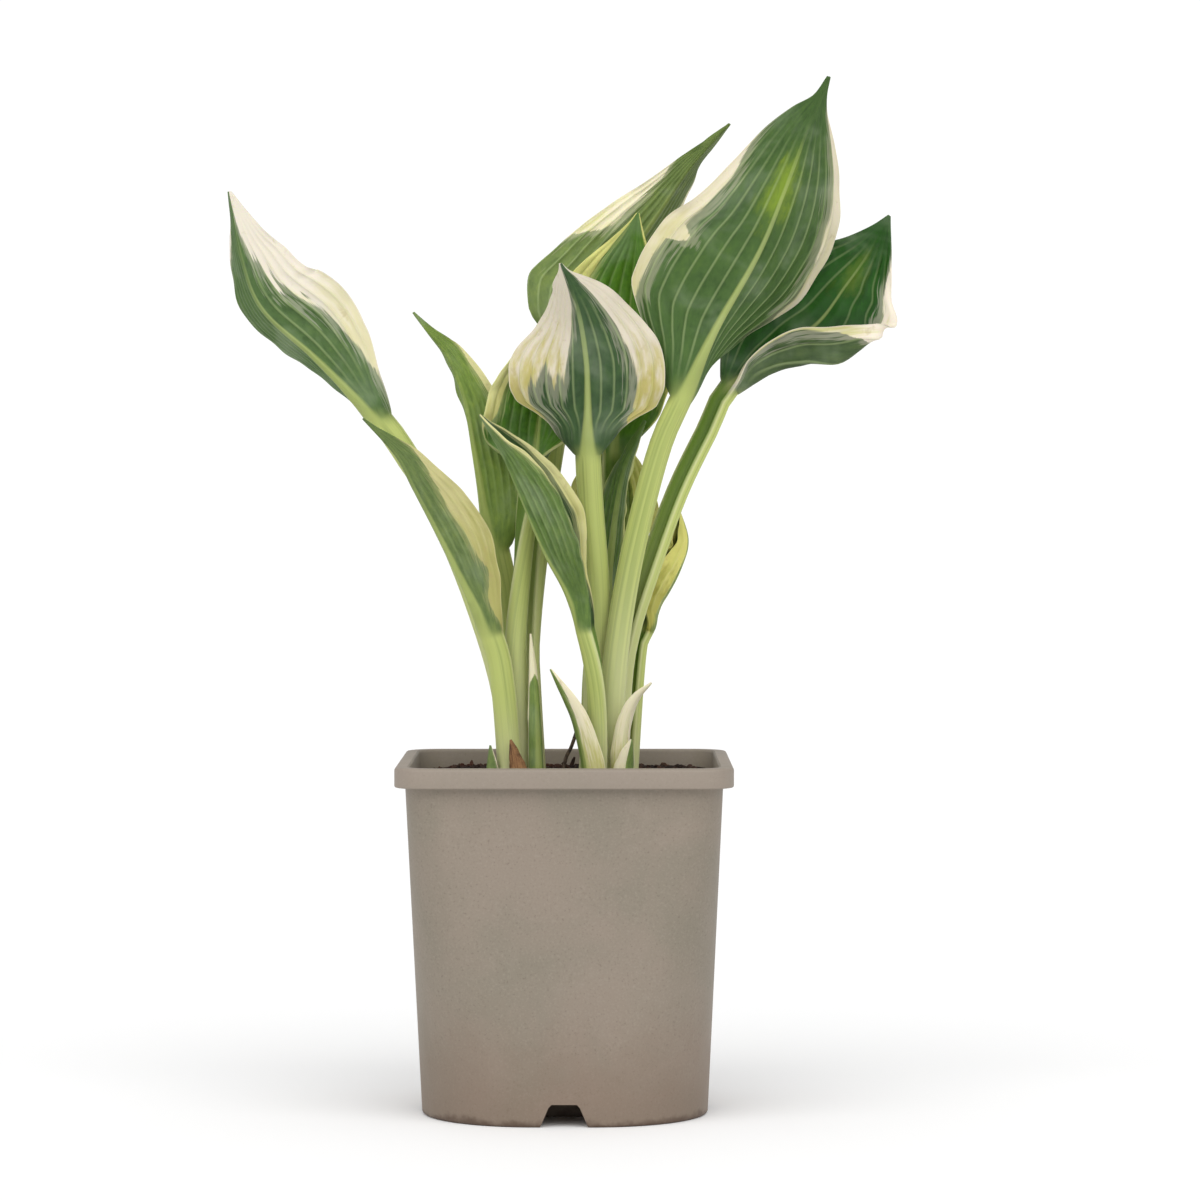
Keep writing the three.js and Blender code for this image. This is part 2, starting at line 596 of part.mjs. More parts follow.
const SHEATHS = [
  {
    name: "sheath_left_short",
    spine: [[-20.4, -11.2, STEM_FOOT], [-20.2, -11.4, 93], [-20, -11.6, 99.8]],
    turn: evenTurn(-40),
    width: [3.2, 3.2],
  },
  {
    name: "sheath_left_dry",
    spine: [[-10.6, -14.4, STEM_FOOT], [-12, -14.4, 92], [-14.6, -14.2, 101.5]],
    turn: evenTurn(5),
    width: [3.4, 3.4],
  },
  {
    name: "sheath_left_tall",
    spine: [[-6.9, -8, STEM_FOOT], [-7.6, -8, 104], [-8.2, -7.8, 117], [-9.4, -7.4, 129.8]],
    turn: evenTurn(30),
    width: [2.7, 2.7],
  },
  {
    name: "sheath_right_tall",
    spine: [[7.4, -16.8, STEM_FOOT], [6, -17, 95], [3.4, -17.2, 106], [0.8, -17.4, 112],
      [-3.7, -18, 120.7]],
    turn: evenTurn(-40),
    width: [4.8, 4.8],
  },
  {
    name: "sheath_right_white",
    spine: [[16, -11.6, STEM_FOOT], [15.8, -11.8, 98], [16.8, -12.2, 107], [19.4, -13, 112.8],
      [23.3, -14.5, 116.9]],
    turn: evenTurn(25),
    width: [3.6, 3.6],
  },
  {
    name: "sheath_right_short",
    spine: [[15.6, -17.4, STEM_FOOT], [16.2, -17.6, 94], [17.9, -17.8, 101.8]],
    turn: evenTurn(10),
    width: [4.3, 4.3],
  },
].map((record) => ({ ...SHEATH_DEFAULTS, ...record }));

// ---------------------------------------------------------------- dry twig between the shoots
const TWIG_PATH = [[-0.6, -3, STEM_FOOT], [-0.2, -3, 94], [1.8, -3, 99.1], [3.3, -3, 103.6]];

function makeTwig() {
  const path = new THREE.CatmullRomCurve3(TWIG_PATH.map((p) => new THREE.Vector3(...p)));
  const section = new THREE.Shape(new THREE.EllipseCurve(0, 0, TWIG_RADIUS, TWIG_RADIUS).getPoints(8));
  const twig = new THREE.ExtrudeGeometry(section, { steps: 10, bevelEnabled: false, extrudePath: path });
  return named("twig", twig, TWIG);
}

// ---------------------------------------------------------------- soil
function randomFrom(seed) {
  let state = seed;
  return () => {
    state = (state * 1664525 + 1013904223) % 4294967296;
    return state / 4294967296;
  };
}

function soilHeight(x, y) {
  const waves = Math.sin(x * 0.31 + 1.2) * Math.cos(y * 0.27) + 0.5 * Math.sin(x * 0.55 + y * 0.47);
  return SOIL_LEVEL + SOIL_LUMP * waves;
}

// The fill follows the pot's inside; its top is a field of low lumps.
function makeSoil(stems) {
  const bottom = innerRing(FLOOR + FIT_GAP, FIT_GAP);
  const rim = innerRing(SOIL_LEVEL, FIT_GAP).map(([x, y]) => [x, y, soilHeight(x, y)]);
  const shares = [0.86, 0.68, 0.48, 0.25];
  const inner = shares.map((share) => rim.map(([x, y]) => [
    x * share,
    y * share,
    soilHeight(x * share, y * share),
  ]));
  let soil = solidOf(loft([bottom, rim, ...inner]));
  const random = randomFrom(11);
  for (let i = 0; i < CRUMB_COUNT; i += 1) {
    const x = (random() - 0.5) * CRUMB_FIELD;
    const y = (random() - 0.5) * CRUMB_FIELD;
    const size = mix(CRUMB_SMALLEST, CRUMB_LARGEST, random());
    const beside = stems.every((stem) => Math.hypot(stem.x - x, stem.y - y) > stem.radius + 1.5 * size);
    if (!beside) continue;
    const crumb = new THREE.IcosahedronGeometry(size, 0);
    crumb.rotateX(random() * 3);
    crumb.rotateZ(random() * 3);
    crumb.scale(1.25, 1, 0.85);
    crumb.translate(x, y, soilHeight(x, y) - size * 0.1);
    soil = soil.add(solidOf(crumb));
  }
  for (let quarter = 0; quarter < 4; quarter += 1) {
    soil = soil.subtract(channelBar(FLOOR + FIT_GAP, quarter));
  }
  stems.forEach(({ x, y, radius }) => {
    const hole = new THREE.CylinderGeometry(radius, radius, 2 * OVERCUT, 12);
    hole.rotateX(90 * DEGREE);
    hole.translate(x, y, PIT_FLOOR + OVERCUT);
    soil = soil.subtract(solidOf(hole));
  });
  return named("soil", geometryOfSolid(soil), COMPOST);
}

// ---------------------------------------------------------------- the potted plant
const hosta = new THREE.Group();
hosta.name = "potted_hosta";

const grown = [...LEFT_SHOOT, ...RIGHT_SHOOT, ...SHEATHS].map((record) => new Leaf(record));
const stems = grown.map((leaf) => {
  const foot = leaf.curve.getPointAt(0);
  const sized = leaf.curve.getPointAt(STEM_SIZED_AT / leaf.curve.getLength());
  const lean = Math.hypot(sized.x - foot.x, sized.y - foot.y);
  const halfWidth = leaf.start > 0 ? leaf.stalk[0] : leaf.width[0];
  return { x: sized.x, y: sized.y, radius: halfWidth + lean + STEM_GAP };
});
stems.push({ x: TWIG_PATH[0][0], y: TWIG_PATH[0][1], radius: TWIG_RADIUS + 2 * FIT_GAP });

hosta.add(makePot(), makeSoil(stems));
grown.forEach((leaf) => {
  const dry = leaf.name === "sheath_left_dry" ? DRY_SHEATH : SHEATH;
  hosta.add(named(leaf.name, leaf.geometry(), leaf.start > 0 ? LEAF : dry));
});
hosta.add(makeTwig());

export default hosta;
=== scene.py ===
"""A young variegated hosta in a square nursery pot: the finished leaves, pot and soil on a pale floor."""
import math

import bmesh
import bpy
import numpy as np
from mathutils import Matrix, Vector


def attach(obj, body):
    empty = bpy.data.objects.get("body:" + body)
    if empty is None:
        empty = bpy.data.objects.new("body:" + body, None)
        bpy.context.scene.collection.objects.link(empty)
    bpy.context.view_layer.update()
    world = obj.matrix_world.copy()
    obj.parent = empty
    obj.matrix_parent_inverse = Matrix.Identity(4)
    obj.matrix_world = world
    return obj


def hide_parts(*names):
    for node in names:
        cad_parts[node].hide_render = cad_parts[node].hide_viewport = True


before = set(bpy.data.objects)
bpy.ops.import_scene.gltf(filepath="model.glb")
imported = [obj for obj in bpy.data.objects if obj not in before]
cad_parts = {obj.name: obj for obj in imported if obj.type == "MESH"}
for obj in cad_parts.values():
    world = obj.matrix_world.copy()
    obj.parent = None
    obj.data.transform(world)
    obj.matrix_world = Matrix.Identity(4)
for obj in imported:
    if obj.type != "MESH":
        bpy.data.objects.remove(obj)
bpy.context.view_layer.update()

MM = 0.001
DEGREE = math.pi / 180

# ---------------------------------------------------------------- the pot's sizes, in mm
POT_HEIGHT = 95.5
RIM_WIDTH = 90.0
RIM_CORNER = 9.5
RIM_BAND = 5.4
BODY_TOP_WIDTH = 84.4
BODY_TOP_CORNER = 9.0
BASE_WIDTH = 77.5
BASE_CORNER = 31.0
WALL = 1.2
FLOOR = 1.6
NOTCH_HEIGHT = 6.1
NOTCH_TOP_WIDTH = 8.3
NOTCH_BASE_WIDTH = 13.7
NOTCH_DEPTH = 21.0
NOTCH_CHAMFER = 0.8
DRAIN_RADIUS = 3.0
DRAIN_SPREAD = 22.0
FIT_GAP = 0.3
SHOULDER = POT_HEIGHT - RIM_BAND

SOIL_LEVEL = 90.4
SOIL_LUMP = 0.7
PIT_FLOOR = 82.0
STEM_FOOT = PIT_FLOOR + 0.8

BLADE_THICKNESS = 0.45
STALK_THICKNESS = 2.3
STALK_EDGE = 0.8
SHEATH_THICKNESS = 0.8
MIDRIB_DEPTH = 1.1
MIDRIB_REACH = 1.1
TWIG_RADIUS = 0.5
TWIG_PATH = [(-0.6, -3, STEM_FOOT), (-0.2, -3, 94), (1.8, -3, 99.1), (3.3, -3, 103.6)]

# How finely things are made: steps along a spine, across half a leaf's section, and so on.
PATH_STEPS = 200
SECTION_STEPS = 96
STALK_ROWS = 26
BLADE_ROWS = 74
SHEATH_ROWS = 30
CORNER_STEPS = 20
TWIG_STEPS = 15
# Half the breadth of a fold, as a share of the half leaf's width.
CREASE_SPREAD = 0.12

# ---------------------------------------------------------------- the studio's light and camera
FLOOR_REACH = 12.0
ROOM_LIGHT = 0.7
BACKDROP_LIGHT = 1.05
SUN_STRENGTH = 1.0
SUN_SPREAD = 50
CAMERA_PLACE = (9.5, -1245, 173.5)
CAMERA_PITCH = 1.60
FOCAL_LENGTH = 137.19


# ---------------------------------------------------------------- curves
def curve_through(keys, place):
    """A smooth curve through (place, value) pairs that never overshoots them."""
    places, values = np.array(keys, float).T
    slopes = np.diff(values) / np.diff(places)
    tangents = np.zeros(len(places))
    for i in range(1, len(places) - 1):
        product = slopes[i - 1] * slopes[i]
        tangents[i] = 0 if product <= 0 else 2 * product / (slopes[i - 1] + slopes[i])
    tangents[0] = slopes[0]
    tangents[-1] = slopes[-1]
    i = np.clip(np.searchsorted(places, place, side="right") - 1, 0, len(places) - 2)
    span = places[i + 1] - places[i]
    t = np.clip((place - places[i]) / span, 0, 1)
    return (
        values[i] * (1 + 2 * t) * (1 - t) ** 2
        + tangents[i] * span * t * (1 - t) ** 2
        + values[i + 1] * t * t * (3 - 2 * t)
        + tangents[i + 1] * span * t * t * (t - 1)
    )


def stations(values, place):
    """A smooth curve through values that are evenly spread from 0 to 1."""
    return curve_through([(i / (len(values) - 1), value) for i, value in enumerate(values)], place)


def ease(low, high, value):
    t = np.clip((value - low) / (high - low), 0, 1)
    return t * t * (3 - 2 * t)


def mix(a, b, share):
    return a + (b - a) * share


def spline(points, t):
    """A point of the Catmull-Rom curve through points, t running 0..1."""
    points = np.asarray(points, float)
    last = len(points) - 1
    ends = np.vstack([2 * points[0] - points[1], points, 2 * points[-1] - points[-2]])
    i = np.minimum((last * t).astype(int), last - 1)
    w = (last * t - i)[..., None]
    before, start, end, after = ends[i], ends[i + 1], ends[i + 2], ends[i + 3]
    leave = 0.5 * (end - before)
    arrive = 0.5 * (after - start)
    return (
        start
        + leave * w
        + (3 * (end - start) - 2 * leave - arrive) * w * w
        + (2 * (start - end) + leave + arrive) * w * w * w
    )


# ---------------------------------------------------------------- leaf shape
# Outlines, creases, cream and tongues are in percent of the blade's length, and of a half's width.

# Half width along a blade, from the end of the stalk (0) to the tip (100), against the widest.
BLADE_OUTLINE = [(0, 0), (8, 30), (20, 76), (36, 100), (52, 91), (68, 65), (84, 29), (94, 10), (100, 1.5)]
# Rounder, with lobes that stand out close to the stalk.
ROUND_OUTLINE = [
    (0, 0), (8, 27), (16, 42), (22, 64), (28, 90), (38, 98), (50, 100), (62, 91), (72, 75), (83, 52),
    (90, 32), (96, 12), (100, 1.5),
]
# Full to the middle, then stepping in to a long tapering tip.
STEPPED_OUTLINE = [
    (0, 0), (6, 25), (13, 52), (18, 75), (24, 96), (31, 100), (40, 98), (46, 93), (53, 80), (63, 64),
    (78, 42), (88, 21), (94, 6), (100, 1.5),
]
# Widest at its middle, with a short tip.
ARCHED_OUTLINE = [
    (0, 0), (10, 25), (20, 62), (30, 88), (40, 100), (50, 98), (60, 88), (70, 69), (80, 41), (90, 13),
    (95, 5.5), (100, 1.5),
]
# Bent over along its middle, and flared where the bend ends.
FLARED_OUTLINE = [
    (0, 0), (10, 21), (20, 45), (32, 78), (45, 100), (54, 87), (60, 71), (66, 66), (72, 47), (81, 31),
    (90, 17), (100, 1.5),
]
# The same along a sheath, which is widest where it leaves the crown.
SHEATH_OUTLINE = [(0, 100), (25, 100), (50, 85), (75, 55), (92, 22), (100, 5)]

# Green from end to end, for the cream of a half.
NO_CREAM = [(0, -20), (100, -20)]

# A leaf record, with lengths in mm and angles in degrees. Lists of two are for the half on the
# right and the half on the left, seen from the upper side with the tip up. A single number for
# turn, fold or curl stands for the same value at every station.
#   spine    points from the foot in the soil, through the point numbered blade_from, to the tip
#   turn     bearing of the upper side about the stalk at foot, blade start, 1/3, 2/3 and tip
#   width    greatest half width, measured along the surface
#   outline  (where, how full): powers that move the widest place towards the tip, and thin it
#   fold     rise of each half at the midrib, at stations from blade start to tip
#   curl     how far each half turns on from the midrib to its margin, at the same stations
#   crease   where a half turns over all at once: share of its width, at even stations; None where
#            it turns evenly
#   blade    outline of each half
#   stalk    half width of the stalk's section at the foot and at the blade
#   channel  rise of the stalk's section at its middle, and at its edges
#   cream    how much of each half is cream, as (place along the blade, share of the half width)
#   tongues  where cream runs down between fingers of green, as (place from midrib to margin, place
#            along the blade above which it is cream), with straight lines between
#   lit_spot a painted pool of light: a thin, sunlit-looking spot, as (place along the blade, place across
#       it, strength)
#   streak   how far the boundary wanders
#   ruffle   height of the waves in the margin
LEAF_DEFAULTS = dict(
    outline=2 * [(1, 1)], blade=2 * [BLADE_OUTLINE], fold=2 * [(25, 22, 20, 20)],
    curl=2 * [(10, 10, 10, 5)], crease=2 * [None], stalk=(3.6, 3.8), channel=(12, 80), veins=6,
    quilt=0.4, ruffle=0.5, cream=2 * [[(0, 5), (30, 20), (70, 25), (100, 30)]], tongues=2 * [None],
    lit_spot=(0.5, 0, 0), streak=0.22,
)

LEAVES = {
    "leaf_outer_left": dict(
        spine=[(-15.6, 2.2, STEM_FOOT), (-17.2, 1.6, 111.5), (-25.2, 0.8, 139.2), (-36, 1.5, 165),
        (-43.4, 2, 177), (-50.4, 2, 186.8), (-67.6, 1, 204.4), (-82, 0, 217.7), (-87.6, -1, 231.4),
        (-91, -3, 249.6)],
        blade_from=5, turn=(-40, -38, -38, -38, -38), width=(11.5, 19.4),
        outline=[(1.55, 1), (1.22, 0.85)], fold=[(40, 22, 22, 30), (34, 32, 30, 25)],
        curl=[(5, 5, 10, 5), (5, 8, 8, 5)], streak=0.1,
        cream=[[(0, -20), (70, -10), (84, 22), (92, 10), (100, -20)], [(0, -10), (14, 0), (17, 20),
        (26, 30), (36, 40), (50, 42), (60, 52), (75, 56), (92, 66), (97, 60), (100, 20)]],
        tongues=[None, [(0, 100), (20, 80), (24, 76), (27, 69), (32, 80), (36, 55), (40, 58), (44, 78),
        (48, 60), (52, 47), (56, 47), (62, 56), (66, 31), (70, 30), (78, 20), (86, 17), (100, 14)]],
    ),
    "leaf_lower_left": dict(
        spine=[(-14.8, -9.2, STEM_FOOT), (-17.4, -9.4, 115.2), (-20.6, -11, 129.5), (-29.2, -15, 147.7),
        (-34.6, -16, 158.5), (-40.4, -18, 169.5), (-45, -19, 178.1), (-53.8, -21, 188)],
        blade_from=2, turn=(-30, -46, -46, -46, -46), width=(12, 12.6), outline=[(0.8, 1), (1.05, 1.1)],
        fold=[(48, 48, 48, 40), (46, 46, 46, 40)], curl=2 * [(6, 6, 6, 5)], streak=0.08,
        cream=[NO_CREAM, [(0, 0), (10, 45), (14, 50), (19, 36), (24, 26), (31, 46), (43, 51),
        (51, 53), (60, 45), (72, 28), (80, 8), (86, -10), (100, -20)]],
    ),
    "leaf_inner_left": dict(
        spine=[(-11.6, 9.4, STEM_FOOT), (-14.2, 9.8, 115), (-16, 9.6, 138), (-18.8, 8, 152),
        (-21.8, 7, 162.2), (-24.2, 6.5, 176.5), (-27.2, 6, 192.6), (-31.8, 5, 204.8), (-37, 3, 211.6),
        (-41.2, 1, 217.1)],
        blade_from=3, turn=(-90, -50, -40, -40, -40), width=(11, 12), outline=[(1, 1), (0.85, 1)],
        fold=[(45, 45, 42, 35), (42, 42, 40, 30)], curl=2 * [5], stalk=(3.2, 3.4), streak=0.08,
        cream=[NO_CREAM, [(0, -10), (40, 10), (58, 20), (64, 24), (70, 24), (78, 10),
        (84, -10), (100, -20)]],
    ),
    "leaf_inner_right": dict(
        spine=[(-12, -3.4, STEM_FOOT), (-12.6, -4, 112), (-12.7, -4, 130.6), (-10.9, -2, 152.3),
        (-9.3, 0, 165.9), (-8.2, 1, 175.4), (-6.6, 3, 193.2), (-4.7, 3, 206.8), (-1.9, 1, 219.5)],
        blade_from=5, turn=(0, 140, 180, 180, 180), width=(16, 16.2), outline=[(1, 1), (0.8, 1)],
        streak=0.08,
        cream=[[(0, -10), (30, 10), (60, 20), (100, 30)], [(0, -10), (18, 0), (24, 18), (32, 24), (45, 26),
        (60, 36), (80, 50), (100, 40)]],
    ),
    "leaf_back_tall": dict(
        spine=[(-7.7, 3.8, STEM_FOOT), (-9.3, 4.2, 116.7), (-9.4, 4.8, 127.6), (-7.2, 6, 149.4),
        (-3.5, 8, 174), (-0.7, 10, 190.5), (3.2, 13, 207.1), (9.5, 15, 219.5), (17.8, 16, 233.3),
        (26.6, 15, 246.3), (34.8, 13, 258), (44.9, 9, 268.9)],
        blade_from=6, turn=(180, 60, 20, 20, 30), width=(19.8, 15.6), outline=[(0.57, 1.08), (1, 1)],
        fold=[(25, 25, 20, 20), (40, 40, 45, 40)], stalk=(2.9, 3.4), streak=0.12,
        cream=[[(0, -20), (30, -10), (36, 6), (42, 30), (47, 38), (58, 38), (65, 30), (70, 26), (75, 5),
        (80, -15), (100, -20)], [(0, -20), (30, 5), (60, 20), (75, 0), (100, -20)]],
    ),
    "leaf_front_right": dict(
        spine=[(13, -5.6, STEM_FOOT), (13.3, -5.9, 115.5), (17.6, -7, 146.7), (25.2, -8.5, 177.8),
        (31.4, -10.5, 192.9), (40.2, -12, 211.5), (52, -13.5, 232.4), (58.9, -15.5, 249), (65, -19, 265.4),
        (70.3, -25, 278.8)],
        blade_from=4, turn=(10, 20, 25, 25, 25), width=(27.5, 28), blade=[STEPPED_OUTLINE, ARCHED_OUTLINE],
        fold=[(28, 25, 22, 22), (52, 30, 12, 10)], curl=[(8, 10, 12, 8), (12, 12, 12, 8)],
        stalk=(3.9, 3.1), streak=0.04, lit_spot=(0.66, 0.05, 0.8),
        cream=[[(0, -20), (17, -8), (22, 8), (27, 12), (33, 12), (37, 12), (39, 30), (41, 31), (44, 20),
        (50, 20), (57, 17), (63, 18), (69, 10), (75, 0), (80, -10), (100, -20)], [(0, -20), (30, -6),
        (34, 5), (41, 9), (46, 13), (52, 19), (58, 20), (64, 18), (73, 16), (81, 13), (87, 6), (92, -10),
        (100, -20)]],
    ),
    "leaf_front_centre": dict(
        spine=[(8, 0.4, STEM_FOOT), (8.4, 0.2, 115), (8.9, -3.6, 138.8), (7.1, -8.5, 163.2),
        (6.3, -13, 178.1), (6.2, -18, 194.7), (5.7, -21, 204.9), (3.6, -25, 216.8), (-0.9, -31, 228.9)],
        blade_from=4, turn=(0, 0, 0, 10, 20), width=(23.5, 22), blade=2 * [ROUND_OUTLINE],
        outline=[(0.9, 1.15), (0.85, 1.35)], fold=[(25, 16, 60, 80), (18, 12, 12, 12)],
        curl=[(10, 12, 20, 20), (12, 12, 14, 10)], streak=0.05,
        cream=[[(0, -20), (17, -5), (22, 12), (30, 20), (40, 24), (47, 40), (53, 70), (62, 62), (80, 54),
        (92, 46), (100, 43)], [(0, -20), (13, -5), (18, 26), (24, 36), (36, 38), (45, 41), (50, 42),
        (53, 46), (65, 46), (75, 49), (85, 46), (93, 30), (100, 20)]],
        tongues=[[(0, 100), (22, 60), (25, 47), (29, 35), (33, 40), (37, 41), (42, 32), (45, 39), (52, 45),
        (58, 42), (65, 34), (69, 38), (74, 36), (79, 26), (86, 20), (100, 16)], None],
    ),
    "leaf_front_left": dict(
        spine=[(7.4, -10.3, STEM_FOOT), (8.2, -11.3, 113.4), (5.2, -12.2, 130.9), (2, -13, 139.8),
        (-3.9, -15, 150.1), (-8.2, -16, 159.3), (-13.1, -17, 170.8), (-16.8, -18, 178.9),
        (-22.6, -20, 189)],
        blade_from=2, turn=(-45, -100, -109, -109, -109), width=(14.5, 14.5),
        outline=[(1.35, 1), (1.3, 1)], fold=[50, (58, 58, 60, 55)], curl=2 * [(6, 8, 8, 5)], streak=0.08,
        cream=[[(0, -10), (30, 18), (60, 20), (85, 10), (100, 0)], [(0, -20), (60, -10), (80, 12),
        (100, 20)]],
    ),
    "leaf_right": dict(
        spine=[(14.4, 6.2, STEM_FOOT), (15.4, 5.8, 114.1), (17.9, 3.6, 130.5), (24, 0.8, 149.6),
        (31, 1.2, 168.6), (39, 4, 185), (45, 6, 196.5), (61.6, 8, 208.8), (69.8, 8, 215.1),
        (76.3, 8, 223.9), (82.3, 7, 232.4), (88.2, 3, 243.4)],
        blade_from=6, turn=150, width=(26.5, 24), veins=4, blade=[FLARED_OUTLINE, BLADE_OUTLINE],
        fold=[(-10, -10, -15, -5), (10, 10, 10, 15)], stalk=(3.2, 2.9),
        curl=[(150, 180, 180, 180), (10, 10, 10, 5)], streak=0.07, lit_spot=(0.72, 0, 0.25),
        crease=[(36, 36, 38, 43, 49, 62, 90, 125, 130, 130, 130), None],
        cream=[[(0, 0), (10, 4), (30, 4), (42, 5), (47, 7), (50, 16), (51.5, 30), (54, 36), (58, 30),
        (62, 22), (67, 27), (72, 20), (77, 13), (82, 0), (87, -12), (100, -20)], NO_CREAM],
    ),
    "leaf_small_right": dict(
        spine=[(17.2, 11.8, STEM_FOOT), (19.8, 12.6, 122), (21.9, 13.8, 129.8), (25.8, 15.8, 138.5),
        (30.4, 16.2, 147.3), (32.8, 15.2, 154.9), (30.6, 13.7, 164.5)],
        blade_from=2, turn=(135, 140, 150, 150, 150), width=(14, 12.5), fold=2 * [30],
        curl=2 * [(90, 110, 110, 60)], stalk=(2, 2), streak=0.3, veins=4,
        cream=[[(0, 10), (20, 55), (60, 60), (100, 50)], [(0, 10), (20, 50), (60, 60), (100, 50)]],
    ),
    "leaf_small_centre": dict(
        spine=[(6.6, 6, STEM_FOOT), (7.3, 5.6, 114.2), (8.8, 4.2, 127.7), (10.2, 3.1, 134.5),
        (12.2, 1.5, 149.5), (13.9, 0, 163.2), (16, -1, 174), (19.3, -2, 182.2), (21.7, -3, 187.6)],
        blade_from=3, turn=(-20, 0, 10, 10, 10), width=(8, 8), fold=2 * [50], curl=2 * [(20, 20, 20, 10)],
        stalk=(2.6, 2.8), streak=0.1, veins=4,
        cream=[[(0, -20), (50, 0), (100, -10)], [(0, -10), (40, 25), (70, 30), (100, 0)]],
    ),
    "leaf_back_low": dict(
        spine=[(5.8, 14.8, STEM_FOOT), (8.8, 17.2, 124.7), (11.1, 18, 149.3), (12.2, 18, 165.8),
        (13.3, 18, 176.8), (13.1, 17, 186.4)],
        blade_from=2, turn=180, width=(14, 13), fold=[10, 20], curl=[5, 10], stalk=(2.6, 2.6), veins=5,
        cream=[[(0, 0), (30, 40), (60, 50), (100, 40)], [(0, 0), (30, 25), (100, 20)]],
    ),
    "leaf_back_upper": dict(
        spine=[(10.8, 11.4, STEM_FOOT), (12.2, 12.4, 115), (13.2, 12, 154.9), (13.3, 11, 178.2),
        (15, 10.5, 193.2), (16.9, 11, 209.7), (18.5, 10.5, 227.5), (19.9, 8.5, 244.4)],
        blade_from=3, turn=180, width=(15, 21.5), outline=[(1, 1), (1.6, 1)], fold=[20, (10, 10, 8, 10)],
        curl=[8, 5], stalk=(2.8, 3.2), streak=0.08,
        cream=[[(0, -20), (40, 10), (80, 15), (100, 0)], [(0, -10), (30, 20), (60, 34), (75, 32), (85, 27),
        (95, 18), (100, 10)]],
    ),
}

SHEATH_DEFAULTS = dict(
    LEAF_DEFAULTS, blade_from=0, blade=2 * [SHEATH_OUTLINE], fold=2 * [10], curl=2 * [(60, 60, 50, 30)],
    quilt=0.1, ruffle=0.2, veins=3, cream=2 * [[(0, 10), (100, 10)]],
)

SHEATHS = {
    "sheath_left_short": dict(
        spine=[(-20.4, -11.2, STEM_FOOT), (-20.2, -11.4, 93), (-20, -11.6, 99.8)],
        turn=-40, width=(3.2, 3.2),
    ),
    "sheath_left_dry": dict(
        spine=[(-10.6, -14.4, STEM_FOOT), (-12, -14.4, 92), (-14.6, -14.2, 101.5)],
        turn=5, width=(3.4, 3.4),
    ),
    "sheath_left_tall": dict(
        spine=[(-6.9, -8, STEM_FOOT), (-7.6, -8, 104), (-8.2, -7.8, 117), (-9.4, -7.4, 129.8)],
        turn=30, width=(2.7, 2.7),
        cream=[[(0, 0), (70, 10), (80, 130), (100, 130)], [(0, 30), (70, 40), (80, 130), (100, 130)]],
    ),
    "sheath_right_tall": dict(
        spine=[(7.4, -16.8, STEM_FOOT), (6, -17, 95), (3.4, -17.2, 106), (0.8, -17.4, 112),
        (-3.7, -18, 120.7)],
        turn=-40, width=(4.8, 4.8),
        cream=[[(0, 0), (100, 0)], [(0, 110), (60, 90), (100, 50)]],
    ),
    "sheath_right_white": dict(
        spine=[(16, -11.6, STEM_FOOT), (15.8, -11.8, 98), (16.8, -12.2, 107), (19.4, -13, 112.8),
        (23.3, -14.5, 116.9)],
        turn=25, width=(3.6, 3.6),
        cream=2 * [[(0, 130), (100, 130)]],
    ),
    "sheath_right_short": dict(
        spine=[(15.6, -17.4, STEM_FOOT), (16.2, -17.6, 94), (17.9, -17.8, 101.8)],
        turn=10, width=(4.3, 4.3),
        cream=[[(0, 120), (100, 100)], [(0, 20), (100, 0)]],
    ),
}


def even(value, count):
    """The value at each of count stations, or the values that are already given for them."""
    return (value,) * count if np.isscalar(value) else value


def summed(rates, step):
    """What the rates along each row come to, from the row's start to each of its places."""
    sums = np.cumsum((rates[:, 1:] + rates[:, :-1]) * (step / 2), axis=1)
    return np.hstack([np.zeros((len(rates), 1)), sums])


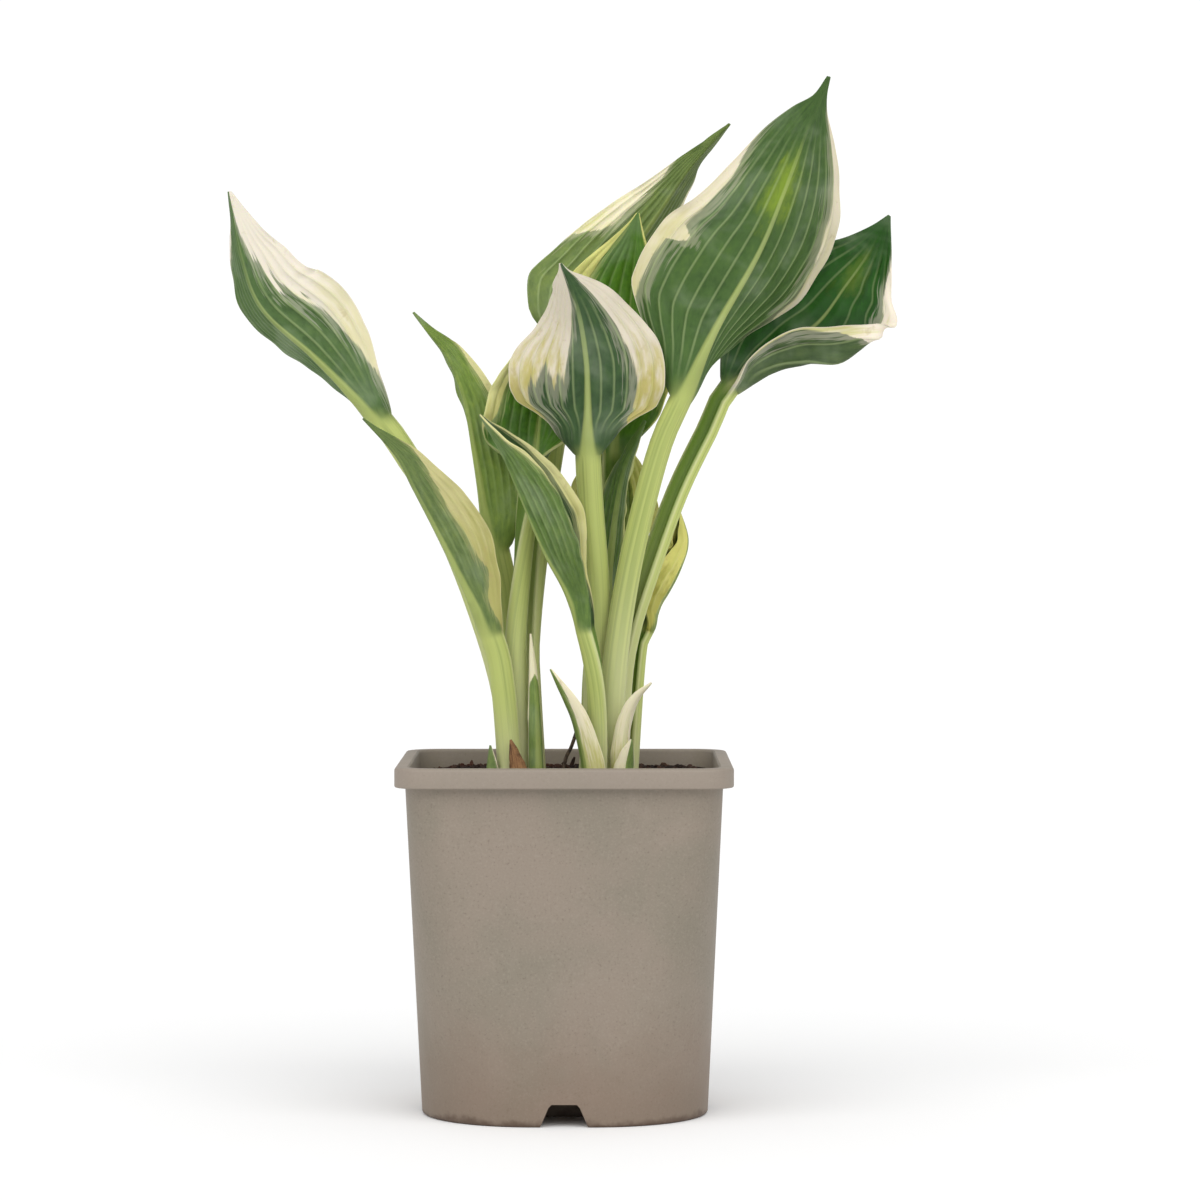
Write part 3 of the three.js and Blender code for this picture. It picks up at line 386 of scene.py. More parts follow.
class Leaf:
    """One leaf or sheath: a channelled stalk that opens into a folded, quilted blade."""

    def __init__(self, record):
        self.__dict__.update(record)
        self.fold = [even(half, 4) for half in self.fold]
        self.curl = [even(half, 4) for half in self.curl]
        for key in ("blade", "crease", "cream", "tongues"):
            shares = [None if half is None else np.array(half) / 100 for half in getattr(self, key)]
            setattr(self, key, shares)
        self.steps = np.linspace(0, 1, PATH_STEPS + 1)
        path = spline(self.spine, self.steps)
        lengths = np.concatenate([[0], np.cumsum(np.linalg.norm(np.diff(path, axis=0), axis=1))])
        self.reached = lengths / lengths[-1]
        self.start = self.reached[round(PATH_STEPS * self.blade_from / (len(self.spine) - 1))]
        third = (1 - self.start) / 3
        places = [0, self.start, self.start + third, self.start + 2 * third, 1]
        turns = list(zip(places, even(self.turn, 5)))
        self.turns = turns if self.start > 0 else turns[1:]

    def spot(self, along):
        return spline(self.spine, np.interp(along, self.reached, self.steps))

    def frame(self, along):
        """Upper side and right-hand side at places along the spine."""
        step = 0.004
        growth = self.spot(np.clip(along + step, 0, 1)) - self.spot(np.clip(along - step, 0, 1))
        growth /= np.linalg.norm(growth, axis=-1, keepdims=True)
        back = np.array([0, 1.0, 0]) - growth * growth[..., 1:2]
        back /= np.linalg.norm(back, axis=-1, keepdims=True)
        left = np.cross(growth, back)
        angle = curve_through(self.turns, along)[..., None] * DEGREE
        upper = back * np.cos(angle) + left * np.sin(angle)
        return upper, np.cross(growth, upper)

    def grown(self, along):
        """How far along its blade each place is, from 0 where the stalk ends to 1 at the tip."""
        return np.clip((along - self.start) / (1 - self.start), 0, 1)

    def half_width(self, side, along):
        grown = self.grown(along)
        shift, fullness = self.outline[side]
        share = curve_through(self.blade[side], grown**shift) ** fullness
        if self.start == 0:
            return self.width[side] * share
        stalk = mix(self.stalk[0], self.stalk[1], np.minimum(along / self.start, 1))
        return self.width[side] * share + stalk * (1 - ease(0, 0.3, grown))

    def turned(self, side, grown, out):
        """Share of a half's curl that is reached, for rows grown and columns out."""
        if self.crease[side] is None:
            return out[None, :]
        middle = stations(self.crease[side], grown)[:, None]
        return ease(middle - CREASE_SPREAD, middle + CREASE_SPREAD, out[None, :])

    def section(self, side, along, out):
        """Sideways and upward place of one half's points, for rows along and columns out."""
        grown = self.grown(along)
        width = self.half_width(side, along)[:, None]
        opened = ease(-0.02, 0.14, grown) * (along > self.start) if self.start > 0 else 1.0
        fold = stations(self.fold[side], grown)
        curl = stations(self.curl[side], grown)
        first = (mix(self.channel[0], fold, opened) * DEGREE)[:, None]
        last = (mix(self.channel[1], fold + curl, opened) * DEGREE)[:, None]
        steps = np.linspace(0, 1, SECTION_STEPS + 1)
        angles = first + (last - first) * self.turned(side, grown, steps)
        place = np.clip(out, 0, 1) * SECTION_STEPS
        low = np.minimum(place.astype(int), SECTION_STEPS - 1)
        aside, rise, angle = (
            mix(values[:, low], values[:, low + 1], (place - low)[None, :])
            for values in (summed(np.cos(angles), steps[1]), summed(np.sin(angles), steps[1]), angles)
        )
        ends = (ease(0.05, 0.3, grown) * (1 - ease(0.8, 1, grown)))[:, None]
        grown = grown[:, None]
        phase = len(self.name) + 2.3 * side
        waves = np.sin(13 * grown + phase) + 0.6 * np.sin(31 * grown + 2 * phase) + 0.3 * np.sin(57 * grown)
        swell = self.ruffle * waves * out[None, :] ** 4 * ends
        return width * aside - swell * np.sin(angle), width * rise + swell * np.cos(angle)

    def surface(self, along, across):
        """The upper side's points: rows from foot (0) to tip (1), columns from left (-1) to right (1)."""
        right_aside, right_rise = self.section(0, along, np.abs(across))
        left_aside, left_rise = self.section(1, along, np.abs(across))
        aside = np.where(across >= 0, right_aside, -left_aside)
        rise = np.where(across >= 0, right_rise, left_rise)
        upper, right = self.frame(along)
        spine = self.spot(along)[:, None, :]
        return spine + right[:, None, :] * aside[..., None] + upper[:, None, :] * rise[..., None]

    def columns(self):
        """Places across both halves, close together beside each vein."""
        offsets = (0, 0.05, 0.13, 0.3, 0.5, 0.7, 0.87, 0.95)
        half = [(vein + offset) / self.veins for vein in range(self.veins) for offset in offsets] + [1.0]
        return np.array([-place for place in half[:0:-1]] + half)

    def rows(self):
        if self.start == 0:
            return np.linspace(0, 1, SHEATH_ROWS)
        stalk = np.linspace(0, self.start, STALK_ROWS, endpoint=False)
        return np.concatenate([stalk, np.linspace(self.start, 1, BLADE_ROWS)])

    def cream_edge(self, side, grown, out):
        """How far inside the cream a point lies, as a share of the half width; below 0 it is green."""
        edge = out - 1 + curve_through(self.cream[side], grown)
        if self.tongues[side] is None:
            return edge
        places, tops = self.tongues[side].T
        return np.maximum(edge, 0.8 * (grown - np.interp(out, places, tops)))


def vein_ridge(out, width, veins, reach):
    """1 on each vein of one half and 0 further than reach (mm) from it."""
    distance = np.abs(out * veins - np.round(out * veins)) / veins * width
    inside = (np.round(out * veins) > 0) & (np.round(out * veins) < veins)
    return np.exp(-((distance / reach) ** 2)) * inside


def quads(*corners):
    return np.stack(corners, -1).reshape(-1, 4)


def new_mesh(name, points, faces, edges=()):
    """A mesh from points in mm."""
    mesh = bpy.data.meshes.new(name)
    mesh.from_pydata((np.asarray(points) * MM).tolist(), list(edges), faces)
    return mesh


def leaf_mesh(name, record):
    """Builds one leaf as a closed mesh, with the attributes that its finish reads."""
    leaf = Leaf({**record, "name": name})
    along = leaf.rows()
    across = leaf.columns()
    upper_side = leaf.surface(along, across)
    normal = np.cross(np.gradient(upper_side, axis=1), np.gradient(upper_side, axis=0))
    normal /= np.linalg.norm(normal, axis=2, keepdims=True)

    place, side = np.meshgrid(along, across, indexing="ij")
    out = np.abs(side)
    grown = leaf.grown(place)
    width = np.where(side >= 0, leaf.half_width(0, place), leaf.half_width(1, place))
    if leaf.start > 0:
        spread = ease(0.03, 0.3, grown) * (1 - ease(0.75, 1, grown))
    else:
        spread = 1 - ease(0.5, 1, grown)
    pillow = 0.5 - 0.5 * np.cos(2 * math.pi * out * leaf.veins)
    strip = np.floor(out * leaf.veins * 0.999) + 7 * (side < 0)
    pucker = np.sin(38 * grown + 2.1 * strip * strip) + 0.7 * np.sin(71 * grown + 3.7 * strip)
    deep = np.clip(width / leaf.veins / 4.5, 0, 1.2)
    bulge = leaf.quilt * deep * spread * pillow * (1 + 0.28 * pucker)
    upper_side = upper_side + normal * bulge[..., None]

    if leaf.start > 0:
        stalk = mix(STALK_THICKNESS, STALK_EDGE, side**2)
        midrib = MIDRIB_DEPTH * (1 - grown) ** 1.5 * np.exp(-((out * width / MIDRIB_REACH) ** 2))
        ridges = 0.3 * deep * spread * vein_ridge(out, width, leaf.veins, 0.4)
        thickness = mix(stalk, BLADE_THICKNESS + midrib + ridges, ease(0, 0.25, grown))
    else:
        thickness = SHEATH_THICKNESS * (1 - 0.6 * out**3) * (1 - 0.5 * grown)
    under_side = upper_side - normal * thickness[..., None]

    count = out.size
    number = np.arange(count).reshape(out.shape)
    foot, tip, left, right = number[0], number[-1], number[:, 0], number[:, -1]
    a, b, c, d = number[:-1, :-1], number[:-1, 1:], number[1:, 1:], number[1:, :-1]
    faces = [quads(a, b, c, d), quads(a, d, c, b) + count]
    rims = (foot[1:], foot[:-1]), (tip[:-1], tip[1:]), (left[:-1], left[1:]), (right[1:], right[:-1])
    faces += [quads(a, b, b + count, a + count) for a, b in rims]
    points = np.concatenate([upper_side.reshape(-1, 3), under_side.reshape(-1, 3)])
    mesh = new_mesh(name, points, np.concatenate(faces).tolist())

    before_blade = place / leaf.start - 1 if leaf.start > 0 else np.zeros_like(place)
    marks = {
        "across": side,
        "grown": np.where(place < leaf.start, before_blade, grown),
        "half_width": width,
        "edge": np.where(side >= 0, leaf.cream_edge(0, grown, out), leaf.cream_edge(1, grown, out)),
    }
    for mark, values in marks.items():
        store(mesh, mark, np.tile(values.ravel(), 2))
    store(mesh, "upper", np.repeat([1.0, 0.0], count))
    smooth(mesh, 50)
    return mesh


def store(mesh, name, values):
    attribute = mesh.attributes.new(name, "FLOAT", "POINT")
    attribute.data.foreach_set("value", values.astype(np.float32))


def smooth(mesh, sharpest):
    """Smooth shading, but for edges that turn by more than this angle."""
    mesh.shade_smooth()
    mesh.set_sharp_from_angle(angle=sharpest * DEGREE)


# ---------------------------------------------------------------- shader helpers
def srgb(red, green, blue):
    """A photographed colour, 0..255, as the linear colour that a shader reads."""
    values = [value / 255 for value in (red, green, blue)]
    return tuple(v / 12.92 if v <= 0.04045 else ((v + 0.055) / 1.055) ** 2.4 for v in values) + (1.0,)


class Bench:
    """Adds nodes to one tree. A value is a number, a colour or the socket that it comes from."""

    def __init__(self, tree):
        self.tree = tree

    def add(self, kind, feeds=None, **settings):
        """One node with these settings, and with values for its sockets by name or number."""
        node = self.tree.nodes.new(kind)
        for key, value in settings.items():
            setattr(node, key, value)
        for socket, value in (feeds or {}).items():
            self.feed(node.inputs[socket], value)
        return node

    def feed(self, socket, value):
        if isinstance(value, bpy.types.NodeSocket):
            self.tree.links.new(value, socket)
        else:
            socket.default_value = value

    def math(self, operation, *values):
        return self.add("ShaderNodeMath", dict(enumerate(values)), operation=operation).outputs[0]

    def times(self, a, b):
        return self.math("MULTIPLY", a, b)

    def plus(self, a, b):
        return self.math("ADD", a, b)

    def around_zero(self, pattern, reach):
        """A 0..1 pattern moved to lie around zero, and stretched."""
        return self.times(self.math("SUBTRACT", pattern, 0.5), reach)

    def blend(self, share, a, b, **settings):
        """Colour a where share is 0 and b where it is 1."""
        return self.add("ShaderNodeMix", {0: share, 6: a, 7: b}, data_type="RGBA", **settings).outputs[2]

    def coat(self, under, colour, mask, strength):
        """Lays a colour over another, as far as the mask and the strength say."""
        return self.blend(self.times(mask, strength), under, colour)

    def between(self, share, a, b):
        """Number a where share is 0 and b where it is 1."""
        return self.add("ShaderNodeMix", {0: share, 2: a, 3: b}, data_type="FLOAT").outputs[0]

    def ramp(self, value, low, high):
        """0 below low, 1 above high and smooth between; the other way round where low is the greater."""
        feeds = {0: value, 1: low, 2: high, 3: 0.0, 4: 1.0}
        return self.add("ShaderNodeMapRange", feeds, interpolation_type="SMOOTHSTEP", clamp=True).outputs[0]

    def place(self, x, y, z):
        return self.add("ShaderNodeCombineXYZ", {0: x, 1: y, 2: z}).outputs[0]

    def noise(self, vector, scale, detail=2.0, roughness=0.5, distortion=0.0):
        feeds = {"Vector": vector, "Scale": scale, "Detail": detail, "Roughness": roughness,
                 "Distortion": distortion}
        return self.add("ShaderNodeTexNoise", feeds).outputs["Fac"]

    def mark(self, name):
        return self.add("ShaderNodeAttribute", attribute_name=name).outputs["Fac"]

    def object_place(self):
        return self.add("ShaderNodeTexCoord").outputs["Object"]


def new_tree(name, kind, inputs, outputs):
    """A node group with these named sockets: the tree, its bench, what it is given and what it makes."""
    tree = bpy.data.node_groups.new(name, kind)
    for side, sockets in (("INPUT", inputs), ("OUTPUT", outputs)):
        for label, socket_kind in sockets.items():
            tree.interface.new_socket(name=label, in_out=side, socket_type="NodeSocket" + socket_kind)
    bench = Bench(tree)
    return tree, bench, bench.add("NodeGroupInput").outputs, bench.add("NodeGroupOutput").inputs


def variegated_skin():
    """Green with a streaked cream margin, veins, midrib and stalk, from the leaf's own attributes."""
    numbers = ("Seed", "Veins", "Streak", "Lit spot along", "Lit spot across", "Lit spot strength")
    tints = ("Green", "Bloom", "Cream", "Shaded_cream", "Stalk", "Foot")
    tree, bench, given, made = new_tree(
        "variegated_skin", "ShaderNodeTree",
        {**dict.fromkeys(numbers, "Float"), **dict.fromkeys(tints, "Color")},
        {"Color": "Color", "Roughness": "Float", "Height": "Float"},
    )
    times, plus, blend, coat, ramp, noise, between = (
        bench.times, bench.plus, bench.blend, bench.coat, bench.ramp, bench.noise, bench.between
    )
    across, grown, width, edge, upper = (
        bench.mark(name) for name in ("across", "grown", "half_width", "edge", "upper")
    )
    out = bench.math("ABSOLUTE", across)
    spot = bench.object_place()

    def along_veins(across_scale, along_scale, offset):
        return bench.place(
            times(across, across_scale),
            times(grown, along_scale),
            plus(given["Seed"], offset),
        )

    # where the cream begins, in the leaf's own streaks and fingers
    broad = noise(along_veins(7, 3.2, 0), 1.0, 2.0, 0.55)
    narrow = noise(along_veins(30, 7, 5), 1.0, 2.0, 0.6)
    thread = noise(along_veins(110, 9, 9), 1.0, 1.0)
    wander = bench.around_zero(broad, given["Streak"])
    fingers = bench.around_zero(narrow, times(given["Streak"], 1.5))
    fray = bench.around_zero(thread, 0.05)
    reach = plus(plus(edge, wander), plus(fingers, fray))
    cream_mask = ramp(reach, -0.014, 0.014)
    halo = ramp(plus(reach, bench.around_zero(narrow, 0.5)), -0.16, -0.05)

    # veins, rim and midrib, in mm across the blade
    aside = bench.math("PINGPONG", times(out, given["Veins"]), 0.5)
    spacing = bench.math("DIVIDE", width, given["Veins"])
    vein = times(ramp(times(aside, spacing), 0.55, 0.1), ramp(spacing, 1.0, 3.4))
    rim_line = ramp(times(bench.math("SUBTRACT", 1.0, out), width), 0.45, 0.1)
    rim_line = times(rim_line, ramp(edge, -0.13, 0.0))
    slim = bench.math("POWER", bench.math("SUBTRACT", 1.0, bench.math("MAXIMUM", grown, 0.0)), 2.5)
    rib_reach = bench.math("MULTIPLY_ADD", slim, 1.5, 0.4)
    midrib = ramp(bench.math("DIVIDE", times(out, width), rib_reach), 1.0, 0.35)
    midrib = times(midrib, ramp(grown, 0.95, 0.1))

    # greens
    cloud = noise(along_veins(5, 9, 40), 1.6, 3.0, 0.65, 0.3)
    grain = noise(spot, 420.0, 3.0, 0.65)
    green = blend(upper, given["Bloom"], given["Green"])
    dark = blend(1.0, green, (0.6, 0.66, 0.62, 1.0), blend_type="MULTIPLY")
    bright = blend(1.0, green, (1.35, 1.25, 1.1, 1.0), blend_type="MULTIPLY")
    green = coat(green, dark, ramp(cloud, 0.52, 0.3), 0.75)
    green = coat(green, bright, ramp(cloud, 0.5, 0.7), 0.7)
    green = coat(green, dark, ramp(grain, 0.55, 0.35), 0.25)
    haze = ramp(noise(spot, 62.0, 3.0, 0.6, 0.4), 0.46, 0.72)
    green = coat(green, srgb(146, 160, 132), haze, 0.3)
    # painted pool of light: a ragged yellow-green spot that makes the blade look thin and sunlit there
    lit_spot_along = times(bench.math("SUBTRACT", grown, given["Lit spot along"]), 7.0)
    lit_spot_across = times(bench.math("SUBTRACT", across, given["Lit spot across"]), 3.2)
    lit_spot_place = bench.place(lit_spot_along, lit_spot_across, 0.0)
    away = bench.add("ShaderNodeVectorMath", {0: lit_spot_place}, operation="LENGTH").outputs["Value"]
    ragged = bench.math("MULTIPLY_ADD", cloud, 1.6, away)
    green = coat(green, srgb(128, 152, 42), ramp(ragged, 1.9, 0.9), given["Lit spot strength"])
    green = coat(green, blend(0.32, green, given["Cream"]), halo, 0.8)
    pale_green = blend(0.45, green, srgb(176, 192, 136))
    green = coat(green, pale_green, vein, between(upper, 0.62, 0.4))

    # cream
    # painted shade: the cream turns darker and yellower towards the stalk, along a wandering line
    shade_wander = noise(along_veins(9, 6, 20), 1.0, 3.0, 0.6)
    shade_along = plus(grown, bench.around_zero(shade_wander, 1.1))
    cream = blend(ramp(shade_along, 0.66, 0.2), given["Cream"], given["Shaded_cream"])
    cream = coat(cream, given["Stalk"], vein, 0.15)
    speck = ramp(noise(spot, 260.0, 3.0, 0.6, 0.5), 0.6, 0.72)
    cream = coat(cream, srgb(168, 150, 104), speck, 0.35)
    skin = blend(cream_mask, green, cream)
    skin = coat(skin, given["Cream"], rim_line, 0.7)

    # base of the blade, midrib and stalk
    near_stalk = ramp(plus(grown, times(out, 0.08)), 0.1, -0.03)
    skin = coat(skin, given["Stalk"], near_stalk, 0.8)
    skin = coat(skin, given["Stalk"], midrib, between(upper, 0.6, 0.5))
    lines = noise(along_veins(8, 1.0, 30), 1.0, 2.0, 0.55)
    stalk_green = blend(0.35, given["Stalk"], given["Bloom"])
    stalk = blend(ramp(lines, 0.42, 0.7), given["Stalk"], stalk_green)
    stalk = blend(ramp(grown, -0.3, -1.0), stalk, given["Foot"])
    stalk = coat(stalk, given["Foot"], ramp(out, 0.8, 0.98), 0.6)
    inside = times(upper, ramp(grown, -0.95, -0.1))
    stalk = coat(stalk, srgb(88, 124, 34), inside, 0.85)
    bench.feed(made["Color"], blend(ramp(grown, 0.02, -0.03), skin, stalk))

    gloss = between(upper, 0.56, 0.48)
    bench.feed(made["Roughness"], plus(bench.around_zero(grain, 0.25), gloss))
    cells = noise(spot, 800.0, 1.0, 0.4)
    relief = bench.math("MULTIPLY_ADD", lines, 0.2, times(cells, 0.16))
    sunk = between(upper, 0.8, -0.8)
    bench.feed(made["Height"], bench.math("MULTIPLY_ADD", vein, sunk, relief))
    return tree


def new_material(name):
    material = bpy.data.materials.new(name)
    material.use_nodes = True
    material.node_tree.nodes.clear()
    return material, Bench(material.node_tree)


def dress(bench, colour, roughness, relief=None, **values):
    """Ends a material with its shader. The relief is (height, distance in mm, strength)."""
    shader = bench.add("ShaderNodeBsdfPrincipled", {"Base Color": colour, "Roughness": roughness})
    for label, value in values.items():
        shader.inputs[label.replace("_", " ")].default_value = value
    if relief:
        height, distance, strength = relief
        feeds = {"Height": height, "Distance": distance * MM, "Strength": strength}
        bench.feed(shader.inputs["Normal"], bench.add("ShaderNodeBump", feeds).outputs["Normal"])
    bench.add("ShaderNodeOutputMaterial", {"Surface": shader.outputs["BSDF"]})


# ---------------------------------------------------------------- leaf finishes
# Green is the upper side and Bloom the under side; the tint after Cream is the cream near the stalk, darker
# and yellower as painted shade.
LEAF_TINTS = dict(
    Green=(52, 92, 26), Bloom=(92, 118, 68), Cream=(226, 218, 186), Shaded_cream=(196, 192, 122),
    Stalk=(180, 190, 110), Foot=(208, 210, 158),
)
SHEATH_TINTS = dict(Green=(84, 110, 36), Bloom=(112, 134, 66))
# Each leaf's own tints. The darker, yellower cream of leaf_lower_left is painted shade.
OWN_TINTS = {
    "leaf_outer_left": dict(Bloom=(76, 103, 54), Cream=(222, 214, 198), Shaded_cream=(214, 207, 168)),
    "leaf_lower_left": dict(Bloom=(96, 115, 62), Cream=(186, 180, 126), Shaded_cream=(168, 164, 98)),
    "leaf_inner_left": dict(Bloom=(114, 138, 60), Cream=(212, 206, 150)),
    "leaf_inner_right": dict(Green=(72, 114, 26), Cream=(206, 204, 142), Shaded_cream=(190, 186, 116)),
    "leaf_back_tall": dict(Bloom=(108, 128, 66), Cream=(236, 228, 198), Shaded_cream=(206, 204, 130)),
    "leaf_front_right": dict(Bloom=(66, 95, 42), Cream=(220, 211, 186), Shaded_cream=(204, 197, 148)),
    "leaf_front_centre": dict(Bloom=(54, 81, 44), Cream=(212, 203, 184), Shaded_cream=(182, 172, 104)),
    "leaf_front_left": dict(Bloom=(92, 118, 56), Cream=(202, 198, 140), Green=(36, 66, 14)),
    "leaf_right": dict(Green=(24, 74, 3), Bloom=(68, 88, 50), Cream=(230, 220, 202)),
    "leaf_small_right": dict(Bloom=(112, 132, 56), Cream=(206, 202, 112), Shaded_cream=(176, 172, 84)),
    "leaf_small_centre": dict(Bloom=(84, 112, 50), Cream=(196, 200, 130)),
    "leaf_back_low": dict(Green=(110, 130, 56), Cream=(204, 202, 118)),
    "leaf_back_upper": dict(Green=(78, 122, 26), Cream=(214, 212, 128), Shaded_cream=(196, 198, 108)),
}


def leaf_material(name, seed, skin, record):
    material, bench = new_material(name)
    along, across, strength = record["lit_spot"]
    tints = {**LEAF_TINTS, **OWN_TINTS.get(name, SHEATH_TINTS)}
    values = {
        "Seed": seed * 3.7,
        "Veins": float(record["veins"]),
        "Streak": record["streak"],
        "Lit spot along": along,
        "Lit spot across": across,
        "Lit spot strength": strength,
        **{label: srgb(*tint) for label, tint in tints.items()},
    }
    made = bench.add("ShaderNodeGroup", values, node_tree=skin).outputs
    dress(
        bench, made["Color"], made["Roughness"], (made["Height"], 0.25, 0.5), Specular_IOR_Level=0.26,
        Subsurface_Weight=0.12, Subsurface_Radius=(0.6, 1.0, 0.25), Subsurface_Scale=0.8 * MM,
    )
    return material


# ---------------------------------------------------------------- making objects
def add_object(name, mesh, material=None):
    if material is not None:
        mesh.materials.clear()
        mesh.materials.append(material)
    piece = bpy.data.objects.new(name, mesh)
    bpy.context.scene.collection.objects.link(piece)
    return piece


def finish_piece(piece, node):
    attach(piece, "root")
    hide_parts(node)


def baked(piece):
    """The piece's mesh with its modifiers run, as a plain mesh."""
    depsgraph = bpy.context.evaluated_depsgraph_get()
    mesh = bpy.data.meshes.new_from_object(piece.evaluated_get(depsgraph))
    piece.modifiers.clear()
    piece.data = mesh
    return mesh


# ---------------------------------------------------------------- pot
def square_ring(width, corner, z):
    """One rounded square, anticlockwise seen from above."""
    offset = width / 2 - corner
    points = []
    for quarter, (sx, sy) in enumerate(((1, 1), (-1, 1), (-1, -1), (1, -1))):
        for step in range(CORNER_STEPS + 1):
            angle = (quarter + step / CORNER_STEPS) * 90 * DEGREE
            x = sx * offset + corner * math.cos(angle)
            y = sy * offset + corner * math.sin(angle)
            points.append((x, y, z))
    return points


def loft(name, rings, capped=True):
    """Skins rings of equal length, with flat caps where it is to be one closed body."""
    count = len(rings[0])
    last = (len(rings) - 1) * count
    faces = []
    for first in range(0, last, count):
        for column in range(count):
            a = first + column
            b = first + (column + 1) % count
            faces.append((a, b, b + count, a + count))
    if capped:
        faces.append(tuple(range(count - 1, -1, -1)))
        faces.append(tuple(range(last, last + count)))
    return new_mesh(name, [point for ring in rings for point in ring], faces)


def body_width(z):
    return mix(BASE_WIDTH, BODY_TOP_WIDTH, z / SHOULDER)


def body_corner(z):
    return mix(BASE_CORNER, BODY_TOP_CORNER, z / SHOULDER)


def body_ring(z):
    return square_ring(body_width(z), body_corner(z), z)


def inner_ring(z, clearance=0.0):
    return square_ring(body_width(z) - 2 * (WALL + clearance), body_corner(z) - WALL - clearance, z)


def rounded(width, corner, z, radius, start, end, steps=4):
    """Rings that round an edge of this radius, from one angle of its section to another."""
    rings = []
    for step in range(steps + 1):
        angle = mix(start, end, step / steps) * DEGREE
        inset = radius * (1 - math.cos(angle))
        rings.append(square_ring(width - 2 * inset, corner - inset, z + radius * math.sin(angle)))
    return rings


def channel_bars(grow):
    """Four trapezoid bars that run in from the walls along the floor."""
    half_base = NOTCH_BASE_WIDTH / 2 + grow
    half_top = NOTCH_TOP_WIDTH / 2 + grow
    top = NOTCH_HEIGHT + grow
    outline = [
        (-half_base, -1), (half_base, -1), (half_top, top - NOTCH_CHAMFER), (half_top - NOTCH_CHAMFER, top),
        (NOTCH_CHAMFER - half_top, top), (-half_top, top - NOTCH_CHAMFER),
    ]
    near = -BASE_WIDTH / 2 - 10
    far = -BASE_WIDTH / 2 + NOTCH_DEPTH + grow
    count = len(outline)
    points = []
    faces = []
    for quarter in range(4):
        cosine = math.cos(quarter * 90 * DEGREE)
        sine = math.sin(quarter * 90 * DEGREE)
        first = len(points)
        for y in (near, far):
            points += [(x * cosine - y * sine, x * sine + y * cosine, z) for x, z in outline]
        faces.append(tuple(first + i for i in range(count)))
        faces.append(tuple(first + count + i for i in reversed(range(count))))
        for i in range(count):
            j = (i + 1) % count
            faces.append((first + j, first + i, first + count + i, first + count + j))
    return new_mesh("channel_bars", points, faces)


def drain_posts():
    """Round cutters for the drain holes in the channels and between them."""
    near = BASE_WIDTH / 2 - NOTCH_DEPTH + 6
    radius = DRAIN_RADIUS * MM
    form = bmesh.new()
    for quarter in range(4):
        for spread, turn in ((near, 0), (DRAIN_SPREAD, 45)):
            angle = (quarter * 90 + turn) * DEGREE
            made = bmesh.ops.create_cone(
                form, cap_ends=True, segments=32, radius1=radius, radius2=radius, depth=30 * MM
            )
            shift = Vector((spread * math.sin(angle) * MM, -spread * math.cos(angle) * MM, 0))
            bmesh.ops.translate(form, verts=made["verts"], vec=shift)
    mesh = bpy.data.meshes.new("drain_posts")
    form.to_mesh(mesh)
    form.free()
    return mesh


def carve(name, mesh, cutters):
    """The mesh with each cutter cut out of it in turn."""
    body = add_object("carving", mesh)
    tools = [add_object("cutter", cutter) for cutter in cutters]
    for tool in tools:
        modifier = body.modifiers.new("cut", "BOOLEAN")
        modifier.operation = "DIFFERENCE"
        modifier.solver = "EXACT"
        modifier.object = tool
    result = baked(body)
    result.name = name
    for item in (body, *tools):
        bpy.data.objects.remove(item)
    return result


def pot_mesh():
    """Outside from the foot's round edge up to the lip, with the cavity, channels and drains cut out."""
    rings = rounded(body_width(1), body_corner(1), 1.0, 1.0, -80, 0)
    rings += [body_ring(z) for z in (8, 24, 44, 66, 84)]
    for wider, rounder, below in ((-0.04, 0, 0.5), (0.3, 0.1, 0.1), (1, 0.4, 0)):
        rings.append(square_ring(BODY_TOP_WIDTH + wider, BODY_TOP_CORNER + rounder, SHOULDER - below))
    rings += rounded(RIM_WIDTH, RIM_CORNER, SHOULDER + 0.5, 0.5, -90, 0)
    rings += rounded(RIM_WIDTH, RIM_CORNER, POT_HEIGHT - 0.9, 0.9, 0, 90)
    lip = [inner_ring(FLOOR), inner_ring(SHOULDER)]
    for above, clearance in ((-0.7, 0.0), (-0.3, -0.12), (-0.06, -0.4), (0.4, -0.7)):
        lip.append(inner_ring(POT_HEIGHT + above, clearance))
    cavity = carve("cavity", loft("cavity", lip), [channel_bars(FLOOR)])
    mesh = carve("nursery_pot", loft("outside", rings), [cavity, channel_bars(0), drain_posts()])
    smooth(mesh, 32)
    return mesh


